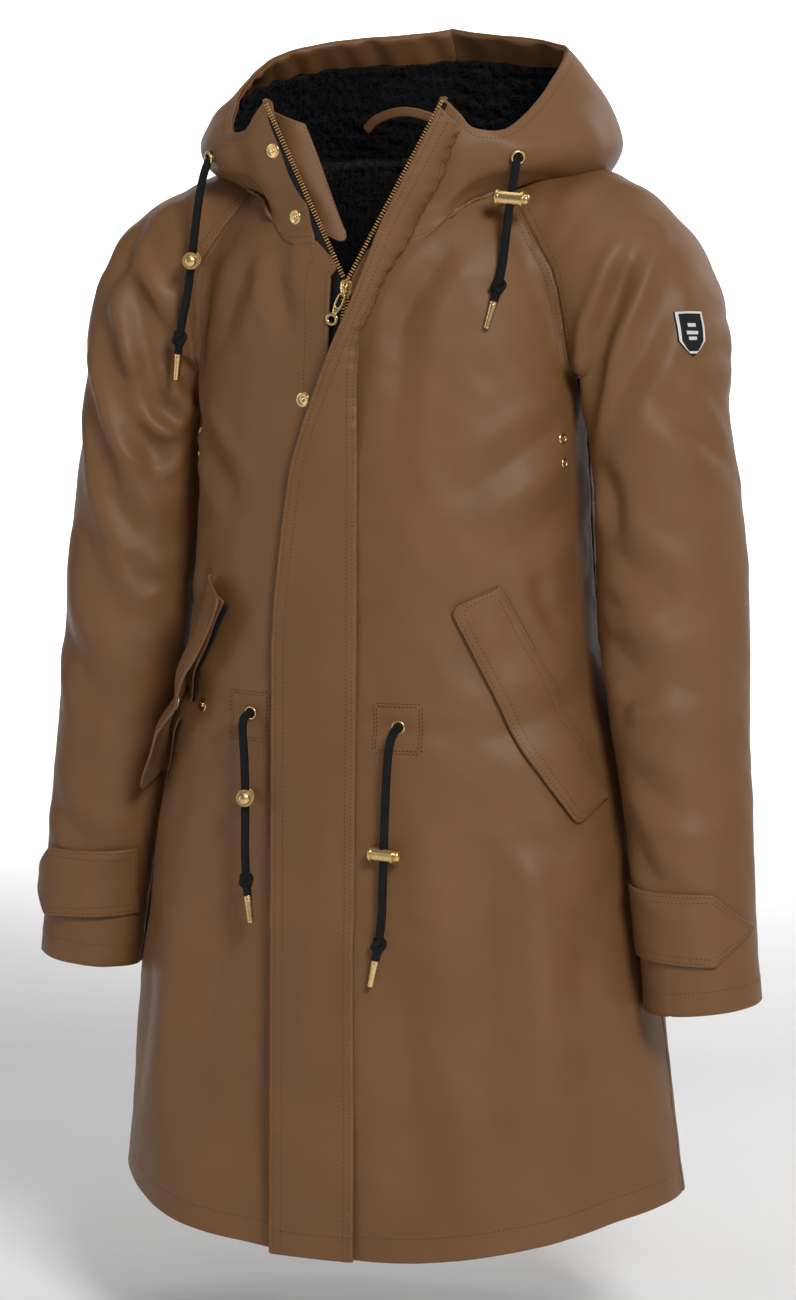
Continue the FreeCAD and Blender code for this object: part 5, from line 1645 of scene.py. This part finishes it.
def knot_path(centre, axis, radius=3.5):
    """An overhand knot pulled tight: a trefoil wound round the cord's line."""
    side, other, axis = frame_about(axis)
    t = np.linspace(0, 2 * math.pi, 90)
    ring = radius + 1.35 * np.cos(3 * t)
    x, y = ring * np.cos(2 * t), ring * np.sin(2 * t)
    z = 3.6 * np.sin(3 * t)
    return centre + x[:, None] * side * 0.82 + y[:, None] * other * 0.82 + z[:, None] * axis


TIP = [(0.3, 23.0), (1.6, 23.0), (2.35, 22.3), (2.5, 20.5), (2.7, 14.0), (3.0, 6.0), (3.25, 3.4),
       (3.05, 2.7), (3.3, 2.0), (3.35, 0.6), (3.0, 0.1)]


def make_cords():
    """Each cord with its knot and its metal tip; gives what declare_cords needs."""
    made_cords = {}
    for name, route in CORDS.items():
        points = cord_curve(name)
        length = lengths(points)[-1]
        path = evenly(points, int(length / CORD_STEP))
        shape = Shape()
        tube(shape, path, CORD_D / 2 - 0.05, count=48, relief=braid)
        cord = shape.build(name + "_braid", [CORD_MAT])
        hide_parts(name)
        last, before = np.array(route[-1]), np.array(route[-2])
        down = unit(last - before)
        shape = Shape()
        tube(shape, knot_path(last - down * 13, down), 2.5, count=24,
             relief=lambda angle, distance: braid(angle, distance) * 0.8)
        knot = shape.build(name + "_knot", [CORD_MAT])
        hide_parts("cord_knots")
        shape = Shape()
        lathe(shape, TIP, last - down * 1.0, down, count=26, smooth=4)
        tip = shape.build(name + "_tip", [GOLD_MAT])
        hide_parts("cord_tips")
        for piece, slot in ((cord, "black_cord"), (knot, "black_cord"), (tip, "gold_metal")):
            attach(piece, "root")
        made_cords[name] = (cord, path, length, [knot, tip])
    return made_cords


STOP_END = [(6.9, -0.5), (6.95, 0.1), (6.5, 0.9), (5.4, 1.7), (3.6, 2.5), (1.7, 2.9), (0.1, 3.0)]
BUTTON = [(4.7, -0.4), (4.75, 0.1), (4.4, 0.9), (3.4, 1.7), (1.9, 2.2), (0.9, 2.35), (0.1, 2.4)]


def make_stop_ends():
    """Domed closed end of each cord stop's barrel and domed button of its plunger."""
    half, button_out = 11.0, 13.6       # from the cord to the barrel's end and to the plunger's
    for name, (run, share, axis) in STOPS.items():
        low, high = np.array(CORDS[name][run]), np.array(CORDS[name][run + 1])
        along = unit(high - low)
        axis = unit(np.array(axis) - along * np.dot(axis, along))
        centre = low + (high - low) * share
        ends = (("stop", STOP_END, centre - axis * half, -axis),
                ("plunger", BUTTON, centre + axis * button_out, axis))
        for kind, profile, place, out in ends:
            body = name.replace("cord", "cord_" + kind)
            shape = Shape()
            lathe(shape, profile, place, out, count=36)
            gold_piece(body + "_dome", body, shape=shape)


def declare_cords(made_cords):
    for name, (cord, path, length, going) in made_cords.items():
        going = going + [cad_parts[name.replace("cord", "cord_" + kind)] for kind in ("stop", "plunger")]
        [x * MM for x in CORDS[name][0]]
        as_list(going)


def dress_cad():
    """Materials and softened edges for the design's own metal pieces that stay in view."""
    stays = {"zip_end_stops": TEETH_MAT}
    for name in CORDS:
        stays[name.replace("cord", "cord_stop")] = GOLD_MAT
        stays[name.replace("cord", "cord_plunger")] = GOLD_MAT
    for name, material in stays.items():
        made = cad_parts[name]
        made.data.materials.clear()
        made.data.materials.append(material)
        bevel = made.modifiers.new("edges", "BEVEL")
        bevel.width = 0.00025
        bevel.segments = 2
        bevel.limit_method = "ANGLE"


# ---- stage, in metres ------------------------------------------------------------------------------
CAMERA_TURN = math.radians(22)          # from straight in front, towards the wearer's left
CAMERA_FAR = 3.0                        # metres


WALL, COAT = (-3.2, 8.3, -0.4), (0, 0, -0.4)
LIGHTS = [                              # name, place, size, watts and what it faces, in metres
    ("key", (2.1, -2.4, 1.5), (0.9, 0.9), 94, COAT),
    ("left_fill", (-2.4, -1.9, 0.1), (0.9, 1.6), 11, COAT),
    ("backdrop", (-1.6, 4.0, 3.2), (5.0, 2.4), 620, WALL),
    ("top", (0.0, -0.3, 2.1), (1.8, 1.6), 11, COAT),
    ("back_rim", (1.6, 2.2, 1.0), (1.4, 1.8), 24, COAT),
]


def area_light(name, place, size, power, target):
    light = bpy.data.lights.new(name, "AREA")
    light.shape = "RECTANGLE"
    light.size, light.size_y = size
    light.energy = power
    made = bpy.data.objects.new(name, light)
    made.location = place
    aim(made, target)
    bpy.context.scene.collection.objects.link(made)


def aim(thing, target):
    """Turns a light or the camera to look at a point."""
    along = Vector(target) - Vector(thing.location)
    thing.rotation_euler = along.to_track_quat("-Z", "Y").to_euler()


def make_stage():
    """A pale floor that curves up into a wall behind, and soft studio light."""
    material, tree, shader = base_material("pale_floor", (0.90, 0.90, 0.90), 0.8)
    place = position(tree)
    vary_colour(tree, shader, place, 3.0, (0.90, 0.90, 0.90), (0.93, 0.93, 0.93))
    floor_z, curve_at, bend = -1.02, 7.0, 1.5
    line = [(-8.0, floor_z), (curve_at, floor_z)]
    for a in np.linspace(0, math.pi / 2, 16):
        line.append((curve_at + bend * math.sin(a), floor_z + bend * (1 - math.cos(a))))
    line.append((curve_at + bend, 4.5))
    grid = np.array([[(x, y, z) for x in np.linspace(-9, 9, 8)] for y, z in line]) / MM
    shape = Shape()
    shape.add(grid, grid_faces(*grid.shape[:2]))
    floor = shape.build("studio_floor", [material])
    floor.rotation_euler = (0, 0, CAMERA_TURN)
    world = bpy.data.worlds.new("studio")
    world.use_nodes = True
    sky = world.node_tree.nodes["Background"]
    sky.inputs["Color"].default_value = (1, 1, 1, 1)
    sky.inputs["Strength"].default_value = 0.19
    bpy.context.scene.world = world
    for light in LIGHTS:
        area_light(*light)


def make_camera():
    """A long lens at the photograph's angle."""
    data = bpy.data.cameras.new("camera")
    data.sensor_width = 36.0
    data.lens = 100.08
    made = bpy.data.objects.new("camera", data)
    made.location = (CAMERA_FAR * math.sin(CAMERA_TURN), -CAMERA_FAR * math.cos(CAMERA_TURN), -0.07)
    aim(made, (0, 0, -0.432))
    bpy.context.scene.collection.objects.link(made)
    bpy.context.scene.camera = made


# ---- the whole coat ------------------------------------------------------------------------------
make_camera()
bpy.context.scene.view_settings.view_transform = "Standard"
cords = make_cords()
make_stage()
cloths = dict(make_panels())
left = sleeve_grid()
cloths["sleeve_left"] = make_sleeve("sleeve_left", left)
cloths["sleeve_right"] = make_sleeve("sleeve_right", mirror_grid(left))
cloths["hood"] = make_hood()
make_fleece(cloths["hood"])
make_storm_flap()
make_pocket_flap("pocket_flap_left", 1, 2.0)
make_pocket_flap("pocket_flap_right", -1, 27.0)
make_cuff_tab("cuff_tab_left", 1, "cuff_tab_left", cloths["sleeve_left"])
make_cuff_tab("cuff_tab_right", -1, "cuff_tab_right", cloths["sleeve_right"])
make_pocket_mouth("pocket_bag_left", 1)
make_pocket_mouth("pocket_bag_right", -1)
make_badge()
make_guard()
make_loop_and_label()
make_patches(cloths)
make_snaps(cloths)
make_eyelets(cloths)
make_zip()
make_slider()
dress_cad()
make_stop_ends()
declare_cords(cords)
